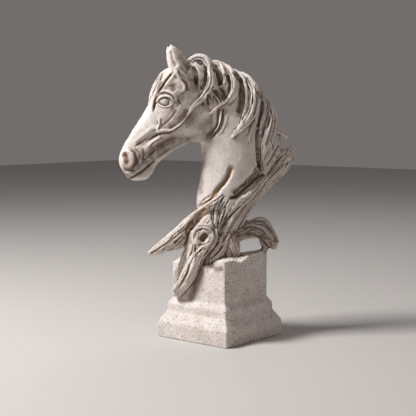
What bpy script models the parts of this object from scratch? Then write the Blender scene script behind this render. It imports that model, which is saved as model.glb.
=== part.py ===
"""Horse head sculpture: a horse's head and neck growing out of driftwood on a broken plinth, cast whole.

The figure is modelled in its own frame and then turned onto the plinth's diagonal. In that frame
X is forward, the way the horse looks, Y is the horse's left side, where the mane falls, and Z is up.
Sizes are millimetres, and the figure's heights are counted from the plinth's mean top.
"""

import math

import bmesh
import bpy
import numpy as np
from mathutils import Matrix, Vector, noise
from mathutils.bvhtree import BVHTree

MM = 0.001

# Plinth: the square die, and how far the fillet and the base stand out from its faces
PLINTH_HEIGHT = 84.0
DIE_SIDE = 69.0
FILLET_PROJECTION = 4.25
BASE_PROJECTION = 11.0
BAND_HEIGHT = 16.0
SLOPE_HEIGHT = 11.0
FILLET_HEIGHT = 7.0
NECK_HEIGHT = 6.5
EDGE_ROUND = 1.2

# Figure, from the plinth's mean top to the tips of the ears
FIGURE_HEIGHT = 211.0
FIGURE_TURN = math.radians(225)

# Skin
BODY_CELL = 1.2
CELL = 1.0
FIGURE_TRIANGLES = 8600
STONE_COLOUR = (0.62, 0.55, 0.47, 1.0)
STONE_ROUGHNESS = 0.85

SIDE = np.array((0.0, 1.0, 0.0))

# The head in side view: distance down its axis from the poll, the nose line and the jaw line on either
# side of that axis, and the half widths at four depths from the bridge of the nose to the jaw.
POLL = (38.0, 0.0, 186.0)
HEAD_TILT = math.radians(60.8)
HEAD_AXIS = np.array((math.cos(HEAD_TILT), 0.0, -math.sin(HEAD_TILT)))
HEAD_FRONT = np.array((math.sin(HEAD_TILT), 0.0, math.cos(HEAD_TILT)))
HEAD_SHARES = (0.05, 0.30, 0.60, 0.92)
HEAD_STATIONS = (
    (-7.0, 6.0, -8.0, 4.0, 7.0, 7.0, 4.0),
    (2.0, 12.0, -18.0, 7.0, 12.5, 13.0, 8.0),
    (14.0, 15.5, -30.0, 9.0, 16.5, 16.5, 11.0),
    (26.0, 16.3, -38.0, 10.5, 19.0, 18.0, 12.5),
    (36.0, 15.2, -43.0, 10.0, 19.0, 18.5, 13.5),
    (48.0, 14.2, -45.0, 8.0, 16.5, 18.0, 14.0),
    (60.0, 14.4, -40.0, 6.5, 13.5, 15.5, 12.0),
    (72.0, 15.2, -32.0, 6.0, 11.5, 12.5, 9.5),
    (85.0, 15.8, -26.0, 5.8, 10.5, 11.0, 8.0),
    (96.0, 15.9, -22.5, 6.2, 11.5, 11.0, 7.0),
    (105.0, 14.6, -23.0, 7.0, 13.0, 11.5, 7.5),
    (112.0, 11.0, -20.5, 6.8, 12.5, 11.0, 7.5),
    (117.5, 3.5, -15.0, 5.5, 10.0, 8.5, 5.5),
    (120.5, -3.0, -9.5, 3.0, 5.0, 4.5, 3.0),
)

# Limbs are tables of forward, left, up, half width and half thickness.
NECK = (
    (26.0, 0.0, 186.0, 9.0, 9.0),
    (12.0, 0.0, 174.0, 21.0, 12.0),
    (-4.0, 0.0, 154.0, 30.0, 15.0),
    (-12.0, 0.0, 126.0, 34.0, 17.0),
    (-12.5, 0.0, 98.0, 31.0, 19.0),
    (-8.5, 0.0, 73.0, 29.5, 20.5),
    (-1.5, 0.0, 49.0, 26.5, 20.5),
    (3.0, 0.0, 28.0, 19.0, 19.0),
    (4.0, 0.0, 0.0, 16.0, 17.0),
)

HAIR_BED = (
    (2.0, 0.0, 182.0, 9.0, 8.0),
    (-14.0, 0.0, 173.0, 12.0, 10.0),
    (-29.0, 0.0, 159.0, 12.5, 11.0),
    (-39.5, 0.0, 142.0, 13.0, 11.5),
    (-43.0, 0.0, 124.0, 12.0, 11.5),
    (-43.0, 0.0, 106.0, 9.0, 10.0),
    (-42.0, 0.0, 90.0, 6.0, 7.0),
)

# Rounded masses under the skin, on both sides: forward, left and up, then the three half sizes.
MASSES = {
    "cheek": (25.0, 8.5, 134.0, 19.0, 9.5, 19.5),
    "ear base": (34.0, 10.5, 183.0, 8.5, 6.0, 8.0),
    "poll": (24.0, 3.5, 185.5, 15.0, 8.5, 11.5),
    "chin": (79.0, 2.5, 83.5, 8.5, 5.5, 7.0),
}

EAR = (
    (38.0, 11.0, 179.0, 8.0, 6.0),
    (41.2, 12.0, 188.0, 8.6, 5.6),
    (44.3, 12.6, 197.0, 8.0, 5.0),
    (47.3, 13.0, 204.0, 5.8, 3.8),
    (49.6, 13.0, 208.5, 3.0, 2.2),
    (50.6, 12.8, 211.0, 0.8, 0.7),
)

FAR_EAR_LEAN = 0.05
EAR_HOLLOW = (5.0, -3.4, ((53.3, 16.0, 205.0), (50.5, 18.0, 197.0), (46.0, 18.5, 189.0)))

# How much larger the figure is than the one that its tables draw, whose ears end at the last row above
GROWTH = FIGURE_HEIGHT / EAR[-1][2]

FORELOCK = (
    ((46.0, 0.0, 189.0, 4.0, 3.2), (57.0, 0.0, 182.5, 4.6, 3.4), (62.5, 0.0, 175.0, 4.6, 3.4),
     (67.0, 0.0, 166.5, 4.2, 3.1), (69.6, 0.0, 159.0, 3.3, 2.6), (71.4, 0.0, 151.0, 2.2, 1.9),
     (73.4, 0.0, 143.0, 0.9, 0.9)),
    ((44.0, 6.5, 187.0, 3.6, 3.2), (54.5, 8.5, 178.5, 4.0, 3.3), (60.5, 9.3, 170.5, 3.9, 3.1),
     (65.2, 9.3, 162.5, 3.4, 2.8), (67.6, 9.0, 155.0, 2.7, 2.3), (68.6, 8.4, 147.5, 1.9, 1.7),
     (68.8, 7.8, 142.0, 0.9, 0.9)),
    ((44.0, -6.5, 187.0, 3.6, 3.2), (54.5, -8.5, 178.5, 4.0, 3.3), (60.5, -9.3, 169.5, 3.9, 3.1),
     (65.2, -9.3, 160.5, 3.2, 2.6), (67.6, -8.6, 152.0, 2.2, 2.0), (69.0, -7.6, 145.0, 0.9, 0.9)),
)

# Locks lie on the skin: a table of forward, up and half width down each one.
NEAR_LOCKS = {
    "poll": ((37, 189, 2.8), (31, 194, 4.0), (24.5, 197, 5.0), (18, 196.3, 5.5), (13.5, 191, 5.5),
             (10.8, 184, 5.2), (10, 176.5, 4.6), (11.8, 169, 4.3), (15.8, 162.5, 3.9), (21.5, 157, 3.2),
             (27.5, 151.5, 2.5), (32.3, 146.5, 1.8), (33.8, 143.5, 1.0)),
    "ear": ((30, 192, 2.4), (24.5, 189.5, 3.0), (20.8, 183, 3.1), (20.6, 176, 2.9), (21.8, 170, 2.3),
            (21.5, 164, 1.3)),
    "wisp": ((12, 195, 1.6), (8, 186, 2.0), (6, 179, 2.0), (7, 171, 1.9), (8.5, 164, 1.7),
             (10, 156, 1.1)),
    "short": ((9, 193.5, 2.8), (3, 192.3, 3.7), (-1.5, 188, 3.7), (-3.2, 182, 3.2), (-2.4, 176, 2.4),
              (-0.8, 169, 1.3)),
    "crest": ((-1, 191.5, 3.0), (-7, 187, 4.2), (-11.5, 180.5, 4.9), (-13, 173, 5.0), (-12.3, 165.5, 4.7),
              (-9, 158.5, 4.1), (-4, 153.5, 3.4), (1.5, 150, 2.7), (7, 146.5, 1.9), (11, 143.5, 1.0)),
    "thin": ((-14, 186, 2.0), (-20, 180.5, 2.8), (-23.5, 173.5, 3.0), (-25.2, 165.5, 2.9),
             (-25.2, 157, 2.6), (-23.8, 149, 2.2), (-21.8, 142, 1.8), (-19.8, 135, 1.4), (-18, 130, 0.9)),
    "broad": ((-21, 182.5, 2.8), (-27, 176.5, 4.6), (-31.5, 169, 5.9), (-32.8, 160, 6.4),
              (-31.8, 151, 6.3), (-28.8, 143, 5.7), (-24.8, 136, 4.9), (-19.8, 130, 3.9),
              (-14.8, 125, 2.8), (-11, 120.5, 1.5)),
    "tail": ((-36, 162, 2.0), (-37.2, 154, 2.4), (-36.5, 146, 2.8), (-34.5, 138, 2.8), (-31.5, 131, 2.5),
             (-28.8, 124, 2.1), (-27.2, 118, 1.8), (-28, 112.5, 1.0)),
    "inner": ((-37, 170, 2.0), (-42, 162, 2.9), (-44, 154, 3.2), (-43.8, 146, 3.1), (-41.5, 138, 2.6),
              (-39.8, 131, 1.9), (-38.5, 124, 1.1)),
    "long": ((-44, 161, 2.2), (-48.3, 152, 3.5), (-49.5, 143, 4.3), (-49, 134, 4.9), (-47, 125, 5.2),
             (-44.8, 116, 5.0), (-43, 108, 4.2), (-41.8, 101, 2.9), (-41.5, 95, 1.3)),
    "rear": ((-49, 155, 2.0), (-53, 146, 2.9), (-54.5, 137, 3.3), (-54, 129, 3.3), (-52, 121, 2.9),
             (-50, 114, 2.3), (-48, 108, 1.3)),
}

FAR_LOCKS = {
    "poll": ((31, 195, 3.2), (20, 195, 4.5), (13, 186, 4.6), (13, 176, 4.0), (19, 165, 3.0),
             (27, 157, 1.3)),
    "crest": ((4, 192, 3.4), (-6, 185, 4.6), (-12, 175, 4.8), (-12, 164, 4.2), (-6, 155, 3.0),
              (1, 150, 1.3)),
    "middle": ((-13, 185, 3.4), (-24, 175, 4.6), (-30, 162, 5.0), (-29, 149, 4.6), (-23, 137, 3.4),
               (-15, 129, 1.4)),
    "broad": ((-29, 174, 3.4), (-39, 162, 4.6), (-43, 148, 5.0), (-40, 134, 4.6), (-34, 121, 3.4),
              (-30, 109, 1.4)),
    "long": ((-43, 161, 3.2), (-50, 148, 4.2), (-52, 135, 4.4), (-48, 122, 4.2), (-44, 109, 3.2),
             (-43, 97, 1.4)),
}

# Driftwood
WOOD = {
    "trunk": (
        (0.0, 0.0, -18.0, 22.0, 22.0),
        (-1.0, 1.0, 2.0, 18.0, 19.0),
        (-4.5, 3.0, 21.0, 15.5, 18.0),
        (-14.0, 4.0, 40.0, 13.0, 15.0),
        (-28.5, 2.0, 59.0, 11.0, 12.0),
        (-44.0, 0.0, 74.0, 9.5, 9.5),
        (-57.0, -1.0, 87.5, 10.0, 7.0),
        (-65.0, -1.0, 98.0, 10.0, 5.0),
    ),
    "back plate": (
        (-26.0, -2.0, 72.0, 12.0, 13.0),
        (-40.0, -2.0, 90.0, 16.0, 12.0),
        (-49.0, -1.0, 108.0, 14.0, 9.0),
        (-54.0, 0.0, 123.0, 8.0, 5.0),
    ),
    "upper prong": ((-48.0, 0.0, 129.0, 9.5, 5.5), (-56.0, 0.0, 126.3, 7.6, 4.6),
                    (-63.0, 0.0, 122.3, 4.9, 3.4), (-68.0, 0.0, 119.7, 2.6, 2.0)),
    "lower prong": ((-58.0, -1.0, 88.0, 11.0, 6.0), (-67.0, 0.0, 98.5, 9.6, 4.8),
                    (-72.0, 0.0, 104.0, 7.6, 3.8), (-73.5, 0.0, 107.5, 5.0, 3.0)),
    "upper ridge": (
        (3.0, 15.0, 26.0, 2.0, 3.0),
        (-3.0, 13.5, 36.0, 4.8, 6.5),
        (-10.0, 13.0, 45.5, 7.0, 8.0),
        (-17.0, 12.0, 53.0, 7.6, 8.5),
        (-24.0, 11.0, 59.5, 6.8, 8.5),
        (-28.0, 10.0, 62.5, 6.6, 8.0),
        (-34.0, 8.5, 67.5, 5.0, 7.0),
        (-42.0, 6.5, 74.0, 4.2, 6.0),
        (-50.0, 4.0, 81.0, 3.2, 5.0),
        (-61.0, 2.0, 93.0, 3.2, 4.0),
        (-69.0, 1.0, 103.0, 3.0, 3.2),
        (-74.6, 0.0, 109.6, 2.6, 2.4),
    ),
    "branch ridge": (
        (-5.0, 14.0, 65.0, 4.0, 5.0),
        (6.0, 15.5, 55.5, 5.0, 6.0),
        (15.0, 16.0, 48.5, 5.4, 6.0),
        (25.0, 16.0, 42.0, 5.0, 5.5),
        (34.5, 16.0, 34.5, 4.8, 5.0),
        (44.5, 16.0, 25.5, 4.6, 5.0),
        (54.5, 16.0, 17.5, 4.2, 4.5),
        (63.5, 15.0, 11.0, 3.7, 3.8),
        (72.0, 13.5, 5.0, 2.2, 2.2),
    ),
    "branch belly": ((28.0, 15.0, 34.0, 3.0, 5.0), (37.5, 16.0, 26.5, 4.6, 5.5),
                     (46.0, 16.5, 18.0, 5.0, 5.5),
                     (55.0, 16.0, 11.0, 5.0, 5.0), (64.0, 14.5, 6.0, 4.0, 4.0),
                     (72.0, 13.0, 3.3, 2.2, 2.2)),
    "branch web": ((22.0, 8.0, 33.0, 9.0, 6.0), (34.0, 9.0, 23.0, 8.0, 5.0),
                   (43.0, 11.0, 13.5, 6.5, 4.5),
                   (53.0, 12.5, 9.0, 4.5, 3.5), (63.0, 13.0, 6.0, 2.6, 2.4)),
    "knot": (
        (-4.0, 9.0, 48.0, 10.0, 9.0),
        (7.0, 14.0, 36.0, 12.0, 10.0),
        (18.0, 16.5, 22.5, 14.0, 10.0),
        (24.0, 17.0, 10.0, 11.5, 9.5),
        (29.0, 16.0, 0.0, 9.0, 7.5),
    ),
    "front buttress": ((-5.0, 13.0, 22.0, 9.0, 8.0), (3.0, 16.0, 10.0, 9.5, 8.5),
                       (10.0, 19.0, 1.0, 8.5, 8.0),
                       (17.0, 22.0, -12.0, 6.0, 6.0)),
    "right buttress": ((-8.0, 10.0, 24.0, 10.0, 9.0), (-10.0, 13.0, 9.0, 9.5, 8.0),
                       (-11.0, 15.0, -6.0, 9.0, 7.0)),
    "far foot": ((0.0, -12.0, 22.0, 10.0, 9.0), (3.0, -18.0, 8.0, 11.0, 9.0), (6.0, -22.0, -6.0, 9.0, 8.0)),
    "far branch": ((0.0, -10.0, 56.0, 9.0, 8.0), (18.0, -14.0, 42.0, 7.5, 7.0),
                   (33.0, -15.0, 29.0, 6.0, 5.5),
                   (46.0, -13.0, 19.0, 4.5, 4.0), (55.0, -10.0, 13.0, 2.0, 2.0)),
}

# Roots that lie on one of the die's faces: that face, the free knots above the plinth, then knots of
# distance across the face, up, proud of it, half width and half thickness.
FACE_ROOTS = {
    "middle root": (
        "-Y",
        ((9.0, 19.0, 35.0, 3.4, 4.0), (8.5, 20.5, 27.0, 4.6, 5.0), (9.5, 21.5, 19.0, 5.2, 5.5),
         (14.0, 23.0, 11.0, 5.8, 6.0)),
        ((1.0, 2.0, 0.2, 6.6, 7.0), (-2.5, -6.0, 3.0, 7.2, 7.4), (-6.5, -14.0, 4.2, 7.4, 7.6),
         (-12.5, -23.0, 4.6, 7.4, 7.4), (-20.0, -31.5, 4.2, 6.8, 6.8), (-25.0, -36.6, 3.4, 5.8, 5.6)),
    ),
    "left root": (
        "-Y",
        ((26.0, 15.0, 20.0, 6.0, 5.5), (30.0, 13.5, 11.0, 6.0, 5.5)),
        ((-13.5, 2.0, -1.8, 7.2, 6.2), (-17.5, -7.0, -1.4, 6.8, 5.8), (-22.0, -16.0, -1.4, 6.2, 5.4),
         (-26.5, -26.0, -1.6, 5.4, 5.0), (-30.5, -35.0, -2.0, 3.6, 4.2)),
    ),
    "far root": (
        "-X",
        ((-12.0, -11.0, 36.0, 12.0, 9.0), (-4.0, -19.0, 20.0, 13.0, 9.0)),
        ((14.1, 4.0, -11.9, 10.5, 7.5), (14.1, -12.0, -2.0, 8.0, 6.0), (14.1, -24.0, 2.3, 4.5, 4.5)),
    ),
}

# The arched root stands on the die's corner: forward is counted from that corner.
ARCH = {
    "arch": (
        (40.8, 4.0, 20.0, 12.0, 12.0),
        (27.8, 4.0, 24.5, 10.0, 10.5),
        (15.8, 3.0, 26.0, 9.6, 9.0),
        (6.8, 2.0, 24.5, 9.2, 8.5),
        (0.8, 1.0, 18.5, 8.2, 8.0),
        (-3.0, 0.5, 13.5, 7.0, 7.5),
        (-5.6, 0.0, 10.5, 5.6, 6.8),
    ),
    "arch foot": ((3.5, 0.0, 14.0, 5.0, 6.0), (1.8, 0.0, 8.0, 4.2, 5.2), (4.2, 0.0, 3.0, 3.2, 3.4),
                  (8.0, 0.0, -4.0, 3.6, 3.6)),
    "arch toe": ((-1.0, 0.0, 14.0, 5.5, 6.0), (-4.5, 0.0, 9.5, 4.6, 5.0), (-7.2, 0.0, 6.8, 3.0, 3.4)),
    "arch strand": ((14.8, 3.0, 34.0, 3.0, 3.5), (8.0, 3.0, 35.6, 4.0, 4.0), (2.0, 3.0, 32.6, 4.2, 4.0),
                    (-3.0, 2.5, 25.0, 3.8, 3.8), (-7.3, 2.0, 18.3, 3.3, 3.3), (-11.2, 1.0, 13.0, 1.9, 1.9)),
}

# Where the plinth's top is broken away: depth, middle along X and Y as shares of half the die's side,
# and reach along X and Y.
BREAK_DIPS = (
    (9.0, -0.435, -1.043, 34.0, 16.0),
    (12.5, 0.45, -1.043, 6.0, 8.0),
    (5.0, 1.072, -0.290, 9.0, 8.0),
    (-3.5, 0.870, 0.812, 18.0, 18.0),
    (4.0, -0.986, 0.348, 12.0, 10.0),
    (3.0, 0.145, 1.043, 10.0, 9.0),
)
CUT_SPARE = 12.0
CUT_MARGIN = 4.0
CUT_TURN = math.radians(8)
BREAK_ROUGHNESS = 1.3
BREAK_GRAIN = 0.16

# Tool strokes in side view: half width, height or depth, then the path of forward and up.
FACE_STROKES = (
    (7.0, -1.4, ((49, 173), (48, 169), (46, 166))),
    (3.6, 1.8, ((45, 187), (43, 182), (39.5, 176), (37, 171), (38.5, 166), (43, 164))),
    (3.2, -1.6, ((40, 178), (36, 173), (33, 166))),
    (2.6, -1.6, ((47, 185), (51, 181), (56, 175), (60, 169), (64, 164), (66.5, 158), (67, 151),
                 (68, 145))),
    (3.2, 1.4, ((45, 186), (49, 179.5), (54, 173.5), (59, 167))),
    (3.6, 2.0, ((66, 154), (63.5, 160), (58.5, 164.5), (53, 164), (48, 160.5), (44.5, 156))),
    (5.6, 1.3, ((34, 155), (41, 149.5), (45, 144), (50, 137), (57, 131), (63, 126))),
    (5.0, -1.0, ((35, 149), (41, 142), (46, 135), (52, 130))),
    (2.8, 0.8, ((28, 149), (33, 143), (38, 136), (44, 131), (51, 127), (59, 127), (63, 126),
                (69, 123), (76, 119))),
    (2.4, 0.7, ((62, 140), (62, 134), (64, 129), (63, 124), (62, 119))),
    (3.6, 0.8, ((63, 133), (71, 128), (77, 123), (83, 118), (89, 113))),
    (6.0, -1.8, ((61, 124), (70, 120), (77, 115.5), (84, 111))),
    (4.2, 1.0, ((54, 123), (62, 119.5), (68, 115), (72, 111), (74, 105))),
    (5.0, -1.3, ((47, 122), (56, 115), (63, 110), (69, 104.5), (72, 98))),
    (3.6, 0.8, ((50, 117), (58, 110.5), (64, 106), (70, 100))),
    (3.4, -2.4, ((3, 149), (4.5, 139), (5.5, 132), (9.5, 126), (15, 120))),
    (2.4, 1.6, ((0.5, 148), (1, 140), (2.5, 132), (7, 125.5), (13, 119))),
    (2.2, -1.8, ((-2, 148), (-1.5, 140), (0.5, 132.5), (4.5, 125), (11, 119))),
    (2.4, 1.2, ((-5, 146), (-4, 138), (-1, 129.5), (5, 121))),
    (2.8, 1.8, ((96, 106), (91.5, 105.5), (88.5, 101), (88.5, 95.5), (91.5, 91.5), (97, 90.5))),
    (2.2, -1.2, ((92, 109), (86.5, 106), (84.5, 99.5), (86.5, 93), (91, 88.5), (96, 87.5))),
    (2.4, 0.8, ((86, 110), (81.5, 104), (81, 98), (83, 92), (88, 87))),
    (3.2, 1.2, ((99, 88), (94, 84.5), (88, 84), (82, 88), (76, 93))),
    (2.6, -2.6, ((66.5, 96.5), (69.5, 94), (74, 90.5), (79, 86.5), (85, 82.5), (90, 79.5), (94, 77.5))),
    (2.2, 1.3, ((64, 153.5), (62.5, 157.5), (58.5, 160.2), (54, 160.2), (50, 157.5), (48, 154.5))),
    (2.0, 1.0, ((64, 153.5), (61, 151.3), (57, 150.4), (52.5, 151.2), (48.5, 154))),
)

NOSTRIL = (4.2, -4.8, ((96.8, 102.5), (95.2, 99.5), (94.6, 95.5)))

# Eyeball: its middle and radius, and the socket pressed for it: middle, half sizes and depth.
EYE = (56.2, 11.6, 155.6)
EYE_RADIUS = 6.6
SOCKET = (56.2, 17.0, 155.6)
SOCKET_SIZE = (11.0, 9.0, 8.5)
SOCKET_DEPTH = 2.4

NEAR_STROKES = (
    (3.2, -3.6, ((15.5, 191), (16.5, 184), (16.8, 176), (20, 167))),
    (2.8, -2.6, ((29, 190), (26.5, 185), (25.5, 179), (25, 172))),
    (4.6, -6.4, ((7.5, 189), (3.5, 183), (1, 177), (0, 170), (-3, 163), (-3, 157))),
    (3.6, -4.2, ((9, 170), (6, 165), (1, 160), (-3, 156))),
    (3.2, -3.6, ((-4, 184), (-7, 178), (-8, 172), (-7, 166), (-4, 161))),
    (4.6, -5.2, ((-13.5, 185), (-18, 177), (-19.5, 168), (-20, 159), (-18.5, 151), (-16, 144))),
    (3.0, -4.8, ((-36.5, 166), (-40, 157), (-40.3, 148), (-38.3, 138), (-36.8, 129))),
    (3.6, -5.6, ((-37, 129), (-36.8, 119), (-37, 108), (-37.8, 99), (-40, 90))),
    (2.6, -2.4, ((-48, 142), (-47, 134), (-44.5, 128))),
    (4.0, -4.6, ((-8.8, 90), (-7, 84), (-4.6, 79), (-1.5, 74.5), (2, 70.8), (5, 66.5), (7.5, 62.5))),
    (2.2, -1.4, ((9, 63), (14, 60), (18, 57), (21, 53), (24, 48))),
    (6.8, -4.4, ((-12, 62), (-19, 67), (-26, 73), (-33, 79), (-38, 86))),
    (3.4, -5.0, ((-8, 59), (-13, 60), (-18, 63.5), (-24, 69), (-31, 74.5), (-38, 80), (-43.5, 82.5))),
    (5.4, -5.4, ((16, 49), (21, 44.5), (26, 39), (30.5, 33.5), (33.5, 28))),
    (4.0, -4.0, ((38, 21), (42, 17), (48, 13.5))),
    (2.6, -2.2, ((10, 47), (10, 39), (7, 32), (3, 26), (1, 20))),
    (2.4, -2.0, ((5, 33), (4, 42), (1, 50), (-3, 56))),
    (2.4, -1.8, ((0, 29), (-6, 38), (-12, 46), (-20, 52))),
    (3.0, -2.2, ((-26, 54), (-19, 44), (-12, 34), (-6, 24), (0, 14))),
    (2.6, -1.8, ((-34, 53), (-27, 43), (-20, 32), (-14, 22))),
    (2.8, -1.3, ((-20, 28.5), (-30, 29.5), (-40, 27), (-47, 20), (-53, 11))),
    (2.6, -1.2, ((-14, 20), (-22, 21.5), (-32, 21.5), (-40, 17), (-46, 9))),
    (2.8, -2.0, ((27, 14), (29.5, 5), (32.5, -5), (36, -15), (40, -25), (43, -34))),
    (2.6, -1.4, ((18, 11), (23, 2), (27.5, -8), (31.5, -18), (36, -28))),
    (2.6, -1.2, ((34, 10), (37.5, -2), (41.5, -14), (44.5, -24))),
    (2.6, -1.8, ((-66, 105), (-58, 96), (-50, 86))),
    (2.6, -1.8, ((-60, 112), (-53, 100), (-46, 90))),
)

KNOT_RIM = (
    4.8,
    1.5,
    ((29, 19), (28, 27), (21, 32), (12.5, 29), (11, 21), (16, 14.5), (24, 12), (29, 19)),
)
KNOT_HOLE = (4.8, -5.2, ((15.8, 24), (18.8, 21), (21.6, 17)))
KNOT_FLOOR = (3.8, -2.6, 2.5)


def fair_curve(knots, count):
    """Evenly spaced points on a smooth curve through the knots. Columns after the third ride along."""
    knots = np.asarray(knots, float)
    reach = np.linalg.norm(np.diff(knots[:, :3], axis=0), axis=1)
    place = np.concatenate([[0.0], np.cumsum(reach)])
    slope = np.gradient(knots, place, axis=0)
    t = np.linspace(0.0, place[-1], count)
    i = np.clip(np.searchsorted(place, t, side="right") - 1, 0, len(knots) - 2)
    span = (place[i + 1] - place[i])[:, None]
    u = (t - place[i])[:, None] / span
    return (
        knots[i] * (1 + 2 * u) * (1 - u) ** 2
        + knots[i + 1] * u * u * (3 - 2 * u)
        + slope[i] * span * u * (1 - u) ** 2
        - slope[i + 1] * span * u * u * (1 - u)
    )


def unit(vectors):
    return vectors / np.maximum(np.linalg.norm(vectors, axis=-1, keepdims=True), 1e-9)


def loft(name, rings):
    """A closed mesh skinned over rings of equally many points, with a flat cap at each end."""
    rings = np.asarray(rings, float)
    count, sides = rings.shape[:2]
    faces = []
    for low in range(0, (count - 1) * sides, sides):
        for k in range(sides):
            after = (k + 1) % sides
            faces.append((low + k, low + after, low + sides + after, low + sides + k))
    faces.append(tuple(reversed(range(sides))))
    faces.append(tuple(range((count - 1) * sides, count * sides)))
    mesh = bpy.data.meshes.new(name)
    mesh.from_pydata((rings.reshape(-1, 3) * MM).tolist(), [], faces)
    form = bmesh.new()
    form.from_mesh(mesh)
    bmesh.ops.recalc_face_normals(form, faces=form.faces)
    form.to_mesh(mesh)
    form.free()
    return mesh


def limb(name, knots, facing=SIDE, step=1.5, sides=20, flutes=0, flute_depth=0.0, twist=0.0):
    """A tapering limb with round ends, its thin way along facing or along the knots' last columns."""
    knots = np.asarray(knots, float)
    length = np.linalg.norm(np.diff(knots[:, :3], axis=0), axis=1).sum()
    line = fair_curve(knots, max(8, int(length / step)))
    centre, half = line[:, :3], np.maximum(line[:, 3:5], 0.15)
    along = unit(np.gradient(centre, axis=0))
    facing = line[:, 5:8] if line.shape[1] > 5 else facing
    across = unit(np.cross(along, facing))
    outward = unit(np.cross(across, along))
    angle = np.linspace(0.0, 2 * math.pi, sides, endpoint=False)
    last = len(centre) - 1
    stations = [(0, -a, math.cos(a)) for a in (1.35, 1.0, 0.55)]
    stations += [(i, 0.0, 1.0) for i in range(last + 1)]
    stations += [(last, a, math.cos(a)) for a in (0.55, 1.0, 1.35)]
    rings = []
    for i, overrun, shrink in stations:
        flute = 1 + flute_depth * np.cos(flutes * (angle + twist * i / last))
        middle = centre[i] + along[i] * math.sin(overrun) * half[i].min()
        ring = middle + np.outer(np.cos(angle) * flute * shrink * half[i, 0], across[i])
        rings.append(ring + np.outer(np.sin(angle) * flute * shrink * half[i, 1], outward[i]))
    return loft(name, rings)


def ball(name, centre, radii):
    form = bmesh.new()
    bmesh.ops.create_uvsphere(form, u_segments=32, v_segments=20, radius=1.0)
    bmesh.ops.scale(form, vec=Vector(radii) * MM, verts=form.verts)
    bmesh.ops.translate(form, vec=Vector(centre) * MM, verts=form.verts)
    mesh = bpy.data.meshes.new(name)
    form.to_mesh(mesh)
    form.free()
    return mesh


def modified(mesh, kind, **settings):
    """The mesh as one of Blender's modifiers leaves it."""
    holder = bpy.data.objects.new(mesh.name, mesh)
    bpy.context.scene.collection.objects.link(holder)
    modifier = holder.modifiers.new(kind.title(), kind)
    for setting, value in settings.items():
        setattr(modifier, setting, value)
    graph = bpy.context.evaluated_depsgraph_get()
    made = bpy.data.meshes.new_from_object(holder.evaluated_get(graph))
    bpy.data.objects.remove(holder)
    return made


def largest_body(mesh):
    """The mesh without the small shells that a hollow between two limbs leaves inside it."""
    form = bmesh.new()
    form.from_mesh(mesh)
    left = set(form.verts)
    bodies = []
    while left:
        seed = left.pop()
        body, edge = [seed], [seed]
        while edge:
            vertex = edge.pop()
            for link in vertex.link_edges:
                other = link.other_vert(vertex)
                if other in left:
                    left.discard(other)
                    body.append(other)
                    edge.append(other)
        bodies.append(body)
    bodies.sort(key=len)
    spare = [vertex for body in bodies[:-1] for vertex in body]
    bmesh.ops.delete(form, geom=spare, context="VERTS")
    form.to_mesh(mesh)
    form.free()
    return mesh


def fuse(name, meshes, cell, smoothing):
    """Overlapping closed meshes made into one skin of small even cells."""
    form = bmesh.new()
    for mesh in meshes:
        form.from_mesh(mesh)
    heap = bpy.data.meshes.new(name)
    form.to_mesh(heap)
    form.free()
    skin = modified(heap, "REMESH", mode="VOXEL", voxel_size=cell * MM, adaptivity=0.0)
    return modified(largest_body(skin), "SMOOTH", factor=0.5, iterations=smoothing)


class Skin:
    """A mesh under the sculptor's tools, which move the vertices near them along their normals."""

    def __init__(self, mesh):
        self.mesh = mesh
        self.read()

    def read(self):
        count = len(self.mesh.vertices)
        points = np.empty(count * 3, np.float32)
        normals = np.empty(count * 3, np.float32)
        self.mesh.vertices.foreach_get("co", points)
        self.mesh.vertex_normals.foreach_get("vector", normals)
        self.points = points.reshape(-1, 3).astype(float) / MM
        self.normals = normals.reshape(-1, 3).astype(float)

    def write(self):
        self.mesh.vertices.foreach_set("co", (self.points * MM).astype(np.float32).ravel())
        self.mesh.update()
        self.read()

    def swell(self, centre, radii, height):
        """Raises a soft mound, or presses a hollow where height is negative."""
        away = np.linalg.norm((self.points - centre) / radii, axis=1)
        weight = np.clip(1 - away * away, 0, None) ** 2
        self.points += self.normals * (weight * height)[:, None]

    def stroke(self, path, width, height, taper=True):
        """Draws a ridge along a path, or a groove where height is negative, of this half width."""
        path = np.asarray(path, float)
        near = np.all((self.points > path.min(0) - width) & (self.points < path.max(0) + width), axis=1)
        near = np.flatnonzero(near)
        away = np.full(len(near), np.inf)
        share = np.zeros(len(near))
        spots = self.points[near]
        for i in range(len(path) - 1):
            run = path[i + 1] - path[i]
            t = np.clip((spots - path[i]) @ run / max(run @ run, 1e-9), 0, 1)
            gap = np.linalg.norm(spots - path[i] - t[:, None] * run, axis=1)
            closer = gap < away
            away[closer] = gap[closer]
            share[closer] = (i + t[closer]) / (len(path) - 1)
        weight = np.clip(1 - (away / width) ** 2, 0, None) ** 2
        if taper:
            weight *= np.clip(4 * share * (1 - share), 0, 1) ** 0.5
        self.points[near] += self.normals[near] * (weight * height)[:, None]


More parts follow.
